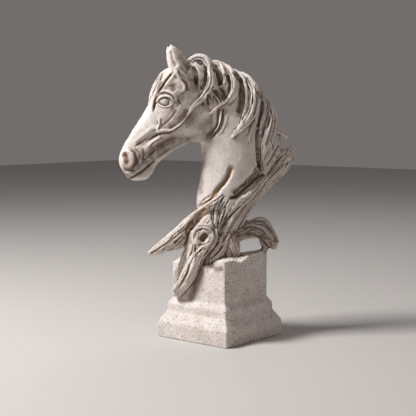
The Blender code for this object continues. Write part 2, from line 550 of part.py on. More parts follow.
class Sides:
    """Finds where a path drawn in the side view lies on the skin of the left (1) or right (-1) side."""

    REACH = 200.0

    def __init__(self, mesh):
        form = bmesh.new()
        form.from_mesh(mesh)
        self.tree = BVHTree.FromBMesh(form)
        form.free()

    def touch(self, forward, up, side):
        start = Vector((forward, side * self.REACH, up)) * MM
        spot, normal = self.tree.ray_cast(start, Vector((0, -side, 0)))[:2]
        return (None, None) if spot is None else (spot.y / MM, normal)

    def drape(self, knots, side=1, count=24):
        """Points on the skin under a side-view path of forward, up and widths, and the normals there."""
        knots = np.asarray(knots, float)
        flat = fair_curve(np.insert(knots, 1, 0.0, axis=1), count)
        touches = [self.touch(p[0], p[2], side) for p in flat]
        known = [i for i, (depth, _) in enumerate(touches) if depth is not None]
        flat[:, 1] = np.interp(range(count), known, [touches[i][0] for i in known])
        facings = np.array([tuple(touches[i][1]) for i in known])
        normals = np.stack([np.interp(range(count), known, facing) for facing in facings.T], axis=1)
        for _ in range(3):
            flat[1:-1, 1] = (flat[:-2, 1] + 2 * flat[1:-1, 1] + flat[2:, 1]) / 4
            normals[1:-1] = (normals[:-2] + 2 * normals[1:-1] + normals[2:]) / 4
        return flat, unit(normals)


def head_mass():
    rings = []
    for station in HEAD_STATIONS:
        down, front, back = station[:3]
        depth = front - back
        left = [(front - share * depth, width) for share, width in zip(HEAD_SHARES, station[3:])]
        right = [(height, -width) for height, width in reversed(left)]
        outline = [(front, 0.0)] + left + [(back, 0.0)] + right + [(front, 0.0)]
        loop = fair_curve([(h, w, 0.0) for h, w in outline], 49)[:-1]
        middle = np.array(POLL) + HEAD_AXIS * down
        rings.append(middle + np.outer(loop[:, 0], HEAD_FRONT) + np.outer(loop[:, 1], SIDE))
    stations = np.array(rings)
    fine = np.concatenate([stations.mean(axis=1), stations.reshape(len(rings), -1)], axis=1)
    fine = fair_curve(fine, 60)
    return loft("head", fine[:, 3:].reshape(60, 48, 3))


def body():
    """Head, cheeks and neck without hair, the eyes set into their sockets."""
    masses = [head_mass(), limb("neck", NECK, step=2.5, sides=32), limb("hair bed", HAIR_BED, sides=32)]
    for side in (1, -1):
        for name, mass in MASSES.items():
            masses.append(ball(name, (mass[0], side * mass[1], mass[2]), mass[3:]))
    skin = Skin(fuse("body", masses, BODY_CELL, 10))
    for side in (1, -1):
        skin.swell((SOCKET[0], side * SOCKET[1], SOCKET[2]), SOCKET_SIZE, -SOCKET_DEPTH)
    skin.write()
    return skin.mesh


def locks(sides):
    made = []
    for side, table in ((1, NEAR_LOCKS), (-1, FAR_LOCKS)):
        for name, knots in table.items():
            line, normals = sides.drape(knots, side)
            width = line[:, 3]
            line[:, :3] += normals * (0.30 * width)[:, None]
            rows = np.column_stack([line[:, :3], width, 0.85 * width + 0.4, normals])
            made.append(limb(name, rows, sides=28, flutes=5, flute_depth=0.13, twist=0.9 * side))
    return made


def driftwood():
    made = []
    corner = DIE_SIDE / math.sqrt(2) / GROWTH
    wood = dict(WOOD)
    for name, knots in ARCH.items():
        wood[name] = [(inward - corner,) + tuple(rest) for inward, *rest in knots]
    for name, knots in wood.items():
        made.append(limb(name, knots, sides=36, flutes=9, flute_depth=0.05, twist=1.2))
    face = DIE_SIDE / 2 / GROWTH
    half = math.sqrt(0.5)
    for name, (die_face, free, laid) in FACE_ROOTS.items():
        side = 1 if die_face == "-Y" else -1
        rows = list(free)
        for across, up, proud, width, thickness in laid:
            out = face + proud
            rows.append((half * (out - across), side * half * (out + across), up, width, thickness))
        facing = (half, side * half, 0.0)
        made.append(limb(name, rows, facing=facing, sides=28, flutes=7, flute_depth=0.06, twist=1.0))
    return made


def eyes():
    radii = (EYE_RADIUS, EYE_RADIUS, EYE_RADIUS)
    return [ball("eye", (EYE[0], side * EYE[1], EYE[2]), radii) for side in (1, -1)]


def ears_and_forelock():
    made = []
    for knots in FORELOCK:
        made.append(limb("forelock", knots, facing=HEAD_FRONT, sides=24, flutes=5, flute_depth=0.10))
    for side, lean in ((1, 0.0), (-1, FAR_EAR_LEAN)):
        ear = [(f + lean * (z - EAR[0][2]), side * s, z, w, t) for f, s, z, w, t in EAR]
        made.append(limb("ear", ear, sides=28))
    return made


def carve(skin):
    """Draws the face, the folds, the gaps between the locks and the grooves in the wood."""
    sides = Sides(skin.mesh)
    for side in (1, -1):
        for width, height, path in FACE_STROKES:
            skin.stroke(sides.drape(path, side)[0], width, height)
        width, depth, path = NOSTRIL
        skin.stroke(sides.drape(path, side, 8)[0], width, depth, taper=False)
        width, depth, path = EAR_HOLLOW
        skin.stroke(fair_curve([(f, side * s, z) for f, s, z in path], 12), width, depth)
    for width, height, path in NEAR_STROKES:
        skin.stroke(sides.drape(path)[0], width, height)
    width, height, path = KNOT_RIM
    skin.stroke(sides.drape(path, count=40)[0], width, height, taper=False)
    width, depth, path = KNOT_HOLE
    hole = sides.drape(path)[0]
    skin.stroke(hole, width, depth)
    skin.write()
    width, depth, inset = KNOT_FLOOR
    skin.stroke(hole - SIDE * inset, width, depth)
    skin.write()


def plinth():
    """The moulded square plinth: its outline turned in four steps, with the top broken off."""
    die = DIE_SIDE / 2
    fillet_foot = BAND_HEIGHT + SLOPE_HEIGHT
    fillet_top = fillet_foot + FILLET_HEIGHT
    outline = (
        (0.0, PLINTH_HEIGHT + CUT_SPARE),
        (die, PLINTH_HEIGHT + CUT_SPARE),
        (die, fillet_top + NECK_HEIGHT),
        (die + FILLET_PROJECTION, fillet_top),
        (die + FILLET_PROJECTION, fillet_foot),
        (die + BASE_PROJECTION, BAND_HEIGHT),
        (die + BASE_PROJECTION, 0.0),
        (0.0, 0.0),
    )
    profile = bpy.data.meshes.new("plinth outline")
    profile.from_pydata(
        [(half * math.sqrt(2) * MM, 0.0, up * MM) for half, up in outline],
        [(i, i + 1) for i in range(len(outline) - 1)],
        [],
    )
    turning = {"angle": 2 * math.pi, "steps": 4, "render_steps": 4, "use_smooth_shade": False}
    block = modified(profile, "SCREW", use_merge_vertices=True, merge_threshold=1e-5, **turning)
    block.transform(Matrix.Rotation(math.radians(45), 4, "Z"))
    rounding = {"limit_method": "ANGLE", "angle_limit": math.radians(20), "segments": 2}
    block = modified(block, "BEVEL", width=EDGE_ROUND * MM, **rounding)
    form = bmesh.new()
    turn = Matrix.Rotation(CUT_TURN, 4, "Z")
    reach = 1.25 * die + CUT_MARGIN
    bmesh.ops.create_grid(form, x_segments=31, y_segments=31, size=reach * MM, matrix=turn)
    bottom = list(form.faces)
    lifted = bmesh.ops.extrude_face_region(form, geom=bottom)
    lid = {thing for thing in lifted["geom"] if isinstance(thing, bmesh.types.BMVert)}
    for vertex in form.verts:
        x, y = vertex.co.x / MM, vertex.co.y / MM
        up = PLINTH_HEIGHT + CUT_SPARE + CUT_MARGIN
        if vertex not in lid:
            up = PLINTH_HEIGHT + BREAK_ROUGHNESS * noise.noise(Vector((x, y, 0.0)) * BREAK_GRAIN)
            for depth, share_x, share_y, reach_x, reach_y in BREAK_DIPS:
                off_x = (x - share_x * die) / reach_x
                off_y = (y - share_y * die) / reach_y
                up -= depth * math.exp(-off_x * off_x - off_y * off_y)
        vertex.co.z = up * MM
    bmesh.ops.recalc_face_normals(form, faces=form.faces)
    broken = bpy.data.meshes.new("broken off")
    form.to_mesh(broken)
    form.free()
    return joined(block, broken, "DIFFERENCE")


def joined(first, second, operation):
    """One mesh added to the other or cut from it."""
    other = bpy.data.objects.new("other", second)
    bpy.context.scene.collection.objects.link(other)
    made = modified(first, "BOOLEAN", operation=operation, solver="EXACT", object=other)
    bpy.data.objects.remove(other)
    return made


def main():
    for thing in list(bpy.data.objects):
        bpy.data.objects.remove(thing)
    core = body()
    hair = locks(Sides(core))
    skin = Skin(fuse("figure", [core] + hair + eyes() + ears_and_forelock() + driftwood(), CELL, 2))
    carve(skin)
    mesh = modified(skin.mesh, "DECIMATE", ratio=FIGURE_TRIANGLES / (2 * len(skin.mesh.polygons)))
    lift = Matrix.Translation((0.0, 0.0, PLINTH_HEIGHT * MM))
    mesh.transform(lift @ Matrix.Scale(GROWTH, 4) @ Matrix.Rotation(FIGURE_TURN, 4, "Z"))
    whole = largest_body(joined(plinth(), mesh, "UNION"))
    whole.set_sharp_from_angle(angle=math.radians(40))
    stone = bpy.data.materials.new("cast_stone_resin")
    stone.use_nodes = True
    surface = stone.node_tree.nodes["Principled BSDF"]
    surface.inputs["Base Color"].default_value = STONE_COLOUR
    surface.inputs["Roughness"].default_value = STONE_ROUGHNESS
    whole.materials.clear()
    whole.materials.append(stone)
    group = bpy.data.collections.new("horse_head")
    bpy.context.scene.collection.children.link(group)
    group.objects.link(bpy.data.objects.new("horse_head_sculpture", whole))


main()
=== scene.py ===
"""Horse head sculpture: the fine surface and finish of the casting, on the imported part.

The figure is modelled in its own frame and then turned onto the plinth's diagonal. In that frame
X is forward, the way the horse looks, Y is the horse's left side, where the mane falls, and Z is up.
Sizes are millimetres, and the figure's heights are counted from the plinth's mean top.
"""

import math

import bmesh
import bpy
import numpy as np
from mathutils import Matrix, Vector, noise
from mathutils.bvhtree import BVHTree


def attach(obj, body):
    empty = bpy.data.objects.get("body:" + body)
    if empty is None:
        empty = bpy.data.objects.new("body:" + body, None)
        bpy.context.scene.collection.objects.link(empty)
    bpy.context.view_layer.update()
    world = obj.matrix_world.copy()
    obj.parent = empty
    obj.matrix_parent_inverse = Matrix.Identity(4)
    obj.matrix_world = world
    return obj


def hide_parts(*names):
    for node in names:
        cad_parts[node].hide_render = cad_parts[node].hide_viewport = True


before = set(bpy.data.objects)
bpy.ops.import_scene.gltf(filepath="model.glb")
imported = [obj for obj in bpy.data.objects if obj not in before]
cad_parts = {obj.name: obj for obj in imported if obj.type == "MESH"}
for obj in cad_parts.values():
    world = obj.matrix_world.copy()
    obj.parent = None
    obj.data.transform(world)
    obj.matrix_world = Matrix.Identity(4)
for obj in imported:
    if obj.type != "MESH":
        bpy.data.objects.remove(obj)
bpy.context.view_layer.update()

MM = 0.001
TINY = 1e-9

# The direction of the horse's left side, which is 1 and the near one. The right side is -1.
SIDE = np.array((0.0, 1.0, 0.0))
NEAR_SIDE = (1,)
BOTH_SIDES = (1, -1)

# Plinth: the square die, and how far the fillet and the base stand out from its faces
PLINTH_HEIGHT = 84.0
DIE_SIDE = 69.0
FILLET_PROJECTION = 4.25
BASE_PROJECTION = 11.0
BAND_HEIGHT = 16.0
SLOPE_HEIGHT = 11.0
FILLET_HEIGHT = 7.0
NECK_HEIGHT = 6.5
EDGE_ROUND = 1.2

# Edges that turn more than this are rounded, and points nearer than this many metres are one.
EDGE_ANGLE = math.radians(20)
WELD = 1e-5

# Figure, from the plinth's mean top to the tips of the ears
FIGURE_HEIGHT = 211.0
FIGURE_TURN = math.radians(225)

# Camera: places in metres, angles in degrees, sensor and lens in millimetres
CAMERA_AZIMUTH = 40.0
CAMERA_PITCH = 5.2
CAMERA_DISTANCE = 1.045
CAMERA_SIDE = -0.0123
CAMERA_HEIGHT = 0.1316
SENSOR = 36.0
FOCAL_LENGTH = 88.6

# Studio, in metres: lamps are name, azimuth, elevation, distance, size, power and colour
AIM_HEIGHT = 0.14
FLOOR_SIZE = 6.0
FLOOR_COLOUR = (0.5, 0.485, 0.47, 1.0)
FLOOR_ROUGHNESS = 0.9
AIR_COLOUR = (1.0, 0.92, 0.88, 1.0)
AIR_STRENGTH = 0.17
LAMPS = (
    ("key", -33.0, 48.0, 1.3, 0.35, 25.0, (1.0, 0.985, 0.98)),
    ("fill", 70.0, 15.0, 1.8, 1.2, 2.5, (1.0, 0.89, 0.85)),
    ("rim", 200.0, 50.0, 1.6, 0.8, 2.5, (1.0, 0.98, 0.96)),
)

# Colours
STONE_PALE = (0.73, 0.675, 0.645, 1.0)
STONE_DEEP = (0.63, 0.56, 0.515, 1.0)
TIMBER = (0.58, 0.51, 0.455, 1.0)
# Brown of the random mottle, and of the painted shade brushed over shaded parts, hollows and cut lines
MOTTLE_AND_SHADE_BROWN = (0.165, 0.112, 0.08, 1.0)
# Deep brown of the painted shade in crevices and deep hollows
PAINTED_SHADE_DEEP = (0.075, 0.045, 0.03, 1.0)
# Ochre-brown painted shade in the deepest places and on shaded undersides
OCHRE_SHADE = (0.33, 0.21, 0.115, 1.0)
# Painted highlight on the crests
PAINTED_HIGHLIGHT = (0.84, 0.80, 0.76, 1.0)
SPECK = (0.08, 0.055, 0.045, 1.0)

# Noise in the colours: its scale and detail, the range drawn from it, and what that range becomes
STONE_CLOUDS = (60.0, 3.0, 0.35, 0.65, 0.0, 1.0)
MOTTLE = (650.0, 2.0, 0.50, 0.72, 0.0, 0.34)
# Noise that breaks up the brown painted shade
SHADE_BREAKUP = (140.0, 4.0, 0.35, 0.65, 0.65, 1.15)

# Coats of colour: the attribute that each follows, the range of it from none to most, how strong the coat
# gets, and its colour. The timber's goes on the bare stone, the rest go over the brown painted shade in
# this
# order: a painted highlight on the crests, painted shade in crevices and hollows, then ochre painted shade.
TIMBER_COAT = ("timber", 0.0, 1.0, 0.9, TIMBER)
COATS = (
    ("fine_hollow", -0.03, -0.18, 0.4, PAINTED_HIGHLIGHT),
    ("crevice", 0.22, 0.62, 0.8, PAINTED_SHADE_DEEP),
    ("fine_hollow", 0.02, 0.16, 0.75, MOTTLE_AND_SHADE_BROWN),
    ("fine_hollow", 0.12, 0.40, 0.7, PAINTED_SHADE_DEEP),
    ("ochre_shade", 0.0, 1.0, 0.85, OCHRE_SHADE),
)

# Specks: cells in a metre, radius as a share of a cell, share of the cells that hold one, and strength.
# Then how strong they are on the figure, how soft their edges and their choice are, and how their
# outlines wander.
SPECKS = ((350.0, 0.20, 0.38, 1.0), (640.0, 0.23, 0.40, 0.9), (1200.0, 0.26, 0.40, 0.6))
SPECKS_ON_FIGURE = 0.35
SPECK_EDGE = (0.08, -0.06)
SPECK_CHOICE = 0.05
SPECK_STIR = 800.0
SPECK_WANDER = 0.0011

# Matte surface with a fine grit: scale and detail of its noise, strength, and height in metres
ROUGHNESS = 0.85
SHINE = 0.3
GRIT = (900.0, 3.0)
GRIT_STRENGTH = 0.55
GRIT_HEIGHT = 0.0005

# Crevices are found with short rays that start just off the skin. They are turned about each normal
# from a slanting direction.
CREVICE_REACH = 7.0
CREVICE_RAYS = 14
CREVICE_START = 0.15
SLANT = (0.31, 0.52, 0.80)

# How much more the painted shade of the hollows shows on the wood, and how much the painted shade of
# hollows and crevices shows on the plinth
TIMBER_RELIEF = 0.6
PLINTH_HOLLOWS = 0.15
PLINTH_CREVICES = 0.55
HOLLOW_ROUNDS = 3

# Over how many millimetres the wood passes into the rest, and the figure into the plinth. From TOP_BLEND
# above the plinth's top down, the wood also fades with distance from its limbs.
TIMBER_BLEND = 1.6
FIGURE_BLEND = 6.0
TOP_BLEND = 3.0
TIMBER_FADE = 1.2
TIMBER_HOLD = 0.4

# Skin: cells in millimetres, rounds of smoothing, triangles, how much larger faces count in the shading,
# and the seed of the cuts
BODY_CELL = 0.9
BODY_SMOOTHING = 10
CELL = 0.5
TRIANGLES = 186000
NORMAL_WEIGHT = 50
SEED = 5

# Limbs: step and sides where nothing else is said, and those of the masses under the hair. Then the
# fewest rings, the least half thickness, the angles at which the rings of the round ends stand, and the
# sides and rings of a ball.
LIMB_STEP = 0.8
LIMB_SIDES = 64
NECK_STEP = 2.5
CORE_SIDES = 32
FEWEST_RINGS = 8
THINNEST = 0.15
END_ANGLES = (1.35, 1.0, 0.55)
BALL_SIDES = 32
BALL_RINGS = 20

# Surface of the locks and the wood. A grain is a furrow's spacing round a limb, its length along it, its
# depth and how narrow it is, and no furrow is deeper than a share of the limb's half size.
LOCK_FINISH = {"flutes": 4, "flute_depth": 0.10, "grain": (3.2, 34.0, 0.7, 5.0)}
WOOD_FINISH = {"sides": 128, "flutes": 6, "flute_depth": 0.03, "twist": 1.1, "grain": (9.0, 60.0, 0.7, 4.0)}
DEEPEST_FURROW = 0.3

# Locks: how far they stand off the skin as a share of their half width, half thickness and twist
LOCK_LIFT = 0.30
LOCK_THICKNESS = 0.85
LOCK_LEAST = 0.4
LOCK_TWIST = 0.9

# Cuts along the limbs: spacing round them, length, half width and depth. Then the steps along a cut, how
# far it may be from the skin, and the ranges within which its place, size and sway are drawn.
HAIR_CUTS = (2.2, 40.0, 0.95, 0.75)
WOOD_CUTS = ((5.0, 42.0, 1.0, 1.0), (2.0, 26.0, 0.7, 0.5))
CUT_STEP = 2.0
CUT_REACH = 0.8
FEWEST_CUTS = 4
CUT_SHIFTS = (-0.35, 0.35)
CUT_STARTS = (-0.6, 0.3)
CUT_LENGTHS = (0.6, 1.3)
CUT_GAPS = (0.05, 0.3)
CUT_WIDTHS = (0.75, 1.25)
CUT_DEPTHS = (0.4, 1.3)
CUT_SWAY = 0.3
SWAY_STEP = 0.35
SWAY_STARTS = (0, 6.3)

# The head in side view: distance down its axis from the poll, the nose line and the jaw line on either
# side of that axis, and the half widths at four depths from the bridge of the nose to the jaw.
POLL = (38.0, 0.0, 186.0)
HEAD_TILT = math.radians(60.8)
HEAD_AXIS = np.array((math.cos(HEAD_TILT), 0.0, -math.sin(HEAD_TILT)))
HEAD_FRONT = np.array((math.sin(HEAD_TILT), 0.0, math.cos(HEAD_TILT)))
HEAD_SHARES = (0.05, 0.30, 0.60, 0.92)
HEAD_RINGS = 60
HEAD_SIDES = 48
HEAD_STATIONS = (
    (-7, 6, -8, 4, 7, 7, 4),
    (2, 12, -18, 7, 12.5, 13, 8),
    (14, 15.5, -30, 9, 16.5, 16.5, 11),
    (26, 16.3, -38, 10.5, 19, 18, 12.5),
    (36, 15.2, -43, 10, 19, 18.5, 13.5),
    (48, 14.2, -45, 8, 16.5, 18, 14),
    (60, 14.4, -40, 6.5, 13.5, 15.5, 12),
    (72, 15.2, -32, 6, 11.5, 12.5, 9.5),
    (85, 15.8, -26, 5.8, 10.5, 11, 8),
    (96, 15.9, -22.5, 6.2, 11.5, 11, 7),
    (105, 14.6, -23, 7, 13, 11.5, 7.5),
    (112, 11, -20.5, 6.8, 12.5, 11, 7.5),
    (117.5, 3.5, -15, 5.5, 10, 8.5, 5.5),
    (120.5, -3, -9.5, 3, 5, 4.5, 3),
)

# Limbs are tables of forward, left, up, half width and half thickness.
NECK = (
    (26, 0, 186, 9, 9),
    (12, 0, 174, 21, 12),
    (-4, 0, 154, 30, 15),
    (-12, 0, 126, 34, 17),
    (-12.5, 0, 98, 31, 19),
    (-8.5, 0, 73, 29.5, 20.5),
    (-1.5, 0, 49, 26.5, 20.5),
    (3, 0, 28, 19, 19),
    (4, 0, 0, 16, 17),
)

HAIR_BED = (
    (2, 0, 182, 9, 8),
    (-14, 0, 173, 12, 10),
    (-29, 0, 159, 12.5, 11),
    (-39.5, 0, 142, 13, 11.5),
    (-43, 0, 124, 12, 11.5),
    (-43, 0, 106, 9, 10),
    (-42, 0, 90, 6, 7),
)

# Rounded masses under the skin, on both sides: forward, left and up, then the three half sizes.
MASSES = {
    "cheek": (25, 8.5, 134, 19, 9.5, 19.5),
    "ear base": (34, 10.5, 183, 8.5, 6, 8),
    "poll": (24, 3.5, 185.5, 15, 8.5, 11.5),
    "chin": (79, 2.5, 83.5, 8.5, 5.5, 7),
}

EAR = (
    (38, 11, 179, 8, 6),
    (41.2, 12, 188, 8.6, 5.6),
    (44.3, 12.6, 197, 8, 5),
    (47.3, 13, 204, 5.8, 3.8),
    (49.6, 13, 208.5, 3, 2.2),
    (50.6, 12.8, 211, 0.8, 0.7),
)

FAR_EAR_LEAN = 0.05
EAR_HOLLOW = (5, -3.4, ((53.3, 16, 205), (50.5, 18, 197), (46, 18.5, 189)))
EAR_POINTS = 12

# How much larger the figure is than the one that its tables draw, whose ears end at EAR's last row
GROWTH = FIGURE_HEIGHT / EAR[-1][2]

FORELOCK = (
    ((46, 0, 189, 4, 3.2), (57, 0, 182.5, 4.6, 3.4), (62.5, 0, 175, 4.6, 3.4),
     (67, 0, 166.5, 4.2, 3.1), (69.6, 0, 159, 3.3, 2.6), (71.4, 0, 151, 2.2, 1.9),
     (73.4, 0, 143, 0.9, 0.9)),
    ((44, 6.5, 187, 3.6, 3.2), (54.5, 8.5, 178.5, 4, 3.3), (60.5, 9.3, 170.5, 3.9, 3.1),
     (65.2, 9.3, 162.5, 3.4, 2.8), (67.6, 9, 155, 2.7, 2.3), (68.6, 8.4, 147.5, 1.9, 1.7),
     (68.8, 7.8, 142, 0.9, 0.9)),
    ((44, -6.5, 187, 3.6, 3.2), (54.5, -8.5, 178.5, 4, 3.3), (60.5, -9.3, 169.5, 3.9, 3.1),
     (65.2, -9.3, 160.5, 3.2, 2.6), (67.6, -8.6, 152, 2.2, 2), (69, -7.6, 145, 0.9, 0.9)),
)

# Locks lie on the skin: a table of forward, up and half width down each one.
NEAR_LOCKS = {
    "poll": ((37, 189, 2.8), (31, 194, 4), (24.5, 197, 5), (18, 196.3, 5.5), (13.5, 191, 5.5),
             (10.8, 184, 5.2), (10, 176.5, 4.6), (11.8, 169, 4.3), (15.8, 162.5, 3.9), (21.5, 157, 3.2),
             (27.5, 151.5, 2.5), (32.3, 146.5, 1.8), (33.8, 143.5, 1)),
    "ear": ((30, 192, 2.4), (24.5, 189.5, 3), (20.8, 183, 3.1), (20.6, 176, 2.9), (21.8, 170, 2.3),
            (21.5, 164, 1.3)),
    "wisp": ((12, 195, 1.6), (8, 186, 2), (6, 179, 2), (7, 171, 1.9), (8.5, 164, 1.7),
             (10, 156, 1.1)),
    "short": ((9, 193.5, 2.8), (3, 192.3, 3.7), (-1.5, 188, 3.7), (-3.2, 182, 3.2), (-2.4, 176, 2.4),
              (-0.8, 169, 1.3)),
    "crest": ((-1, 191.5, 3), (-7, 187, 4.2), (-11.5, 180.5, 4.9), (-13, 173, 5), (-12.3, 165.5, 4.7),
              (-9, 158.5, 4.1), (-4, 153.5, 3.4), (1.5, 150, 2.7), (7, 146.5, 1.9), (11, 143.5, 1)),
    "thin": ((-14, 186, 2), (-20, 180.5, 2.8), (-23.5, 173.5, 3), (-25.2, 165.5, 2.9),
             (-25.2, 157, 2.6), (-23.8, 149, 2.2), (-21.8, 142, 1.8), (-19.8, 135, 1.4), (-18, 130, 0.9)),
    "broad": ((-21, 182.5, 2.8), (-27, 176.5, 4.6), (-31.5, 169, 5.9), (-32.8, 160, 6.4),
              (-31.8, 151, 6.3), (-28.8, 143, 5.7), (-24.8, 136, 4.9), (-19.8, 130, 3.9),
              (-14.8, 125, 2.8), (-11, 120.5, 1.5)),
    "tail": ((-36, 162, 2), (-37.2, 154, 2.4), (-36.5, 146, 2.8), (-34.5, 138, 2.8), (-31.5, 131, 2.5),
             (-28.8, 124, 2.1), (-27.2, 118, 1.8), (-28, 112.5, 1)),
    "inner": ((-37, 170, 2), (-42, 162, 2.9), (-44, 154, 3.2), (-43.8, 146, 3.1), (-41.5, 138, 2.6),
              (-39.8, 131, 1.9), (-38.5, 124, 1.1)),
    "long": ((-44, 161, 2.2), (-48.3, 152, 3.5), (-49.5, 143, 4.3), (-49, 134, 4.9), (-47, 125, 5.2),
             (-44.8, 116, 5), (-43, 108, 4.2), (-41.8, 101, 2.9), (-41.5, 95, 1.3)),
    "rear": ((-49, 155, 2), (-53, 146, 2.9), (-54.5, 137, 3.3), (-54, 129, 3.3), (-52, 121, 2.9),
             (-50, 114, 2.3), (-48, 108, 1.3)),
}

FAR_LOCKS = {
    "poll": ((31, 195, 3.2), (20, 195, 4.5), (13, 186, 4.6), (13, 176, 4), (19, 165, 3),
             (27, 157, 1.3)),
    "crest": ((4, 192, 3.4), (-6, 185, 4.6), (-12, 175, 4.8), (-12, 164, 4.2), (-6, 155, 3),
              (1, 150, 1.3)),
    "middle": ((-13, 185, 3.4), (-24, 175, 4.6), (-30, 162, 5), (-29, 149, 4.6), (-23, 137, 3.4),
               (-15, 129, 1.4)),
    "broad": ((-29, 174, 3.4), (-39, 162, 4.6), (-43, 148, 5), (-40, 134, 4.6), (-34, 121, 3.4),
              (-30, 109, 1.4)),
    "long": ((-43, 161, 3.2), (-50, 148, 4.2), (-52, 135, 4.4), (-48, 122, 4.2), (-44, 109, 3.2),
             (-43, 97, 1.4)),
}

# Driftwood
WOOD = {
    "trunk": ((0, 0, -18, 22, 22), (-1, 1, 2, 18, 19), (-4.5, 3, 21, 15.5, 18), (-14, 4, 40, 13, 15),
              (-28.5, 2, 59, 11, 12), (-44, 0, 74, 9.5, 9.5), (-57, -1, 87.5, 10, 7),
              (-65, -1, 98, 10, 5)),
    "back plate": ((-26, -2, 72, 12, 13), (-40, -2, 90, 16, 12), (-49, -1, 108, 14, 9),
                   (-54, 0, 123, 8, 5)),
    "upper prong": ((-48, 0, 129, 9.5, 5.5), (-56, 0, 126.3, 7.6, 4.6), (-63, 0, 122.3, 4.9, 3.4),
                    (-68, 0, 119.7, 2.6, 2)),
    "lower prong": ((-58, -1, 88, 11, 6), (-67, 0, 98.5, 9.6, 4.8), (-72, 0, 104, 7.6, 3.8),
                    (-73.5, 0, 107.5, 5, 3)),
    "upper ridge": ((3, 15, 26, 2, 3), (-3, 13.5, 36, 4.8, 6.5), (-10, 13, 45.5, 7, 8),
                    (-17, 12, 53, 7.6, 8.5), (-24, 11, 59.5, 6.8, 8.5), (-28, 10, 62.5, 6.6, 8),
                    (-34, 8.5, 67.5, 5, 7), (-42, 6.5, 74, 4.2, 6), (-50, 4, 81, 3.2, 5),
                    (-61, 2, 93, 3.2, 4), (-69, 1, 103, 3, 3.2), (-74.6, 0, 109.6, 2.6, 2.4)),
    "branch ridge": ((-5, 14, 65, 4, 5), (6, 15.5, 55.5, 5, 6), (15, 16, 48.5, 5.4, 6),
                     (25, 16, 42, 5, 5.5), (34.5, 16, 34.5, 4.8, 5), (44.5, 16, 25.5, 4.6, 5),
                     (54.5, 16, 17.5, 4.2, 4.5), (63.5, 15, 11, 3.7, 3.8), (72, 13.5, 5, 2.2, 2.2)),
    "branch belly": ((28, 15, 34, 3, 5), (37.5, 16, 26.5, 4.6, 5.5), (46, 16.5, 18, 5, 5.5),
                     (55, 16, 11, 5, 5), (64, 14.5, 6, 4, 4), (72, 13, 3.3, 2.2, 2.2)),
    "branch web": ((22, 8, 33, 9, 6), (34, 9, 23, 8, 5), (43, 11, 13.5, 6.5, 4.5),
                   (53, 12.5, 9, 4.5, 3.5), (63, 13, 6, 2.6, 2.4)),
    "knot": ((-4, 9, 48, 10, 9), (7, 14, 36, 12, 10), (18, 16.5, 22.5, 14, 10), (24, 17, 10, 11.5, 9.5),
             (29, 16, 0, 9, 7.5)),
    "front buttress": ((-5, 13, 22, 9, 8), (3, 16, 10, 9.5, 8.5), (10, 19, 1, 8.5, 8),
                       (17, 22, -12, 6, 6)),
    "right buttress": ((-8, 10, 24, 10, 9), (-10, 13, 9, 9.5, 8), (-11, 15, -6, 9, 7)),
    "far foot": ((0, -12, 22, 10, 9), (3, -18, 8, 11, 9), (6, -22, -6, 9, 8)),
    "far branch": ((0, -10, 56, 9, 8), (18, -14, 42, 7.5, 7), (33, -15, 29, 6, 5.5),
                   (46, -13, 19, 4.5, 4), (55, -10, 13, 2, 2)),
}

# Roots that lie on one of the die's faces: that face, the free knots above the plinth, then knots of
# distance across the face, up, proud of it, half width and half thickness.
FACE_ROOTS = {
    "middle root": (
        "-Y",
        ((9, 19, 35, 3.4, 4), (8.5, 20.5, 27, 4.6, 5), (9.5, 21.5, 19, 5.2, 5.5),
         (14, 23, 11, 5.8, 6)),
        ((1, 2, 0.2, 6.6, 7), (-2.5, -6, 3, 7.2, 7.4), (-6.5, -14, 4.2, 7.4, 7.6),
         (-12.5, -23, 4.6, 7.4, 7.4), (-20, -31.5, 4.2, 6.8, 6.8), (-25, -36.6, 3.4, 5.8, 5.6)),
    ),
    "left root": (
        "-Y",
        ((26, 15, 20, 6, 5.5), (30, 13.5, 11, 6, 5.5)),
        ((-13.5, 2, -1.8, 7.2, 6.2), (-17.5, -7, -1.4, 6.8, 5.8), (-22, -16, -1.4, 6.2, 5.4),
         (-26.5, -26, -1.6, 5.4, 5), (-30.5, -35, -2, 3.6, 4.2)),
    ),
    "far root": (
        "-X",
        ((-12, -11, 36, 12, 9), (-4, -19, 20, 13, 9)),
        ((14.1, 4, -11.9, 10.5, 7.5), (14.1, -12, -2, 8, 6), (14.1, -24, 2.3, 4.5, 4.5)),
    ),
}

# The arched root stands on the die's corner: forward is counted from that corner.
ARCH = {
    "arch": ((40.8, 4, 20, 12, 12), (27.8, 4, 24.5, 10, 10.5), (15.8, 3, 26, 9.6, 9),
             (6.8, 2, 24.5, 9.2, 8.5), (0.8, 1, 18.5, 8.2, 8), (-3, 0.5, 13.5, 7, 7.5),
             (-5.6, 0, 10.5, 5.6, 6.8)),
    "arch foot": ((3.5, 0, 14, 5, 6), (1.8, 0, 8, 4.2, 5.2), (4.2, 0, 3, 3.2, 3.4), (8, 0, -4, 3.6, 3.6)),
    "arch toe": ((-1, 0, 14, 5.5, 6), (-4.5, 0, 9.5, 4.6, 5), (-7.2, 0, 6.8, 3, 3.4)),
    "arch strand": ((14.8, 3, 34, 3, 3.5), (8, 3, 35.6, 4, 4), (2, 3, 32.6, 4.2, 4),
                    (-3, 2.5, 25, 3.8, 3.8), (-7.3, 2, 18.3, 3.3, 3.3), (-11.2, 1, 13, 1.9, 1.9)),
}

# Where the plinth's top is broken away: depth, middle along X and Y as shares of half the die's side,
# and reach along X and Y. Then the grid that cuts it, and the roughness of the break.
BREAK_DIPS = (
    (9, -0.435, -1.043, 34, 16),
    (12.5, 0.45, -1.043, 6, 8),
    (5, 1.072, -0.290, 9, 8),
    (-3.5, 0.870, 0.812, 18, 18),
    (4, -0.986, 0.348, 12, 10),
    (3, 0.145, 1.043, 10, 9),
)
CUT_SPARE = 12.0
CUT_MARGIN = 4.0
CUT_SHARE = 1.25
CUT_SQUARES = 31
CUT_TURN = math.radians(8)
BREAK_ROUGHNESS = 1.3
BREAK_GRAIN = 0.16

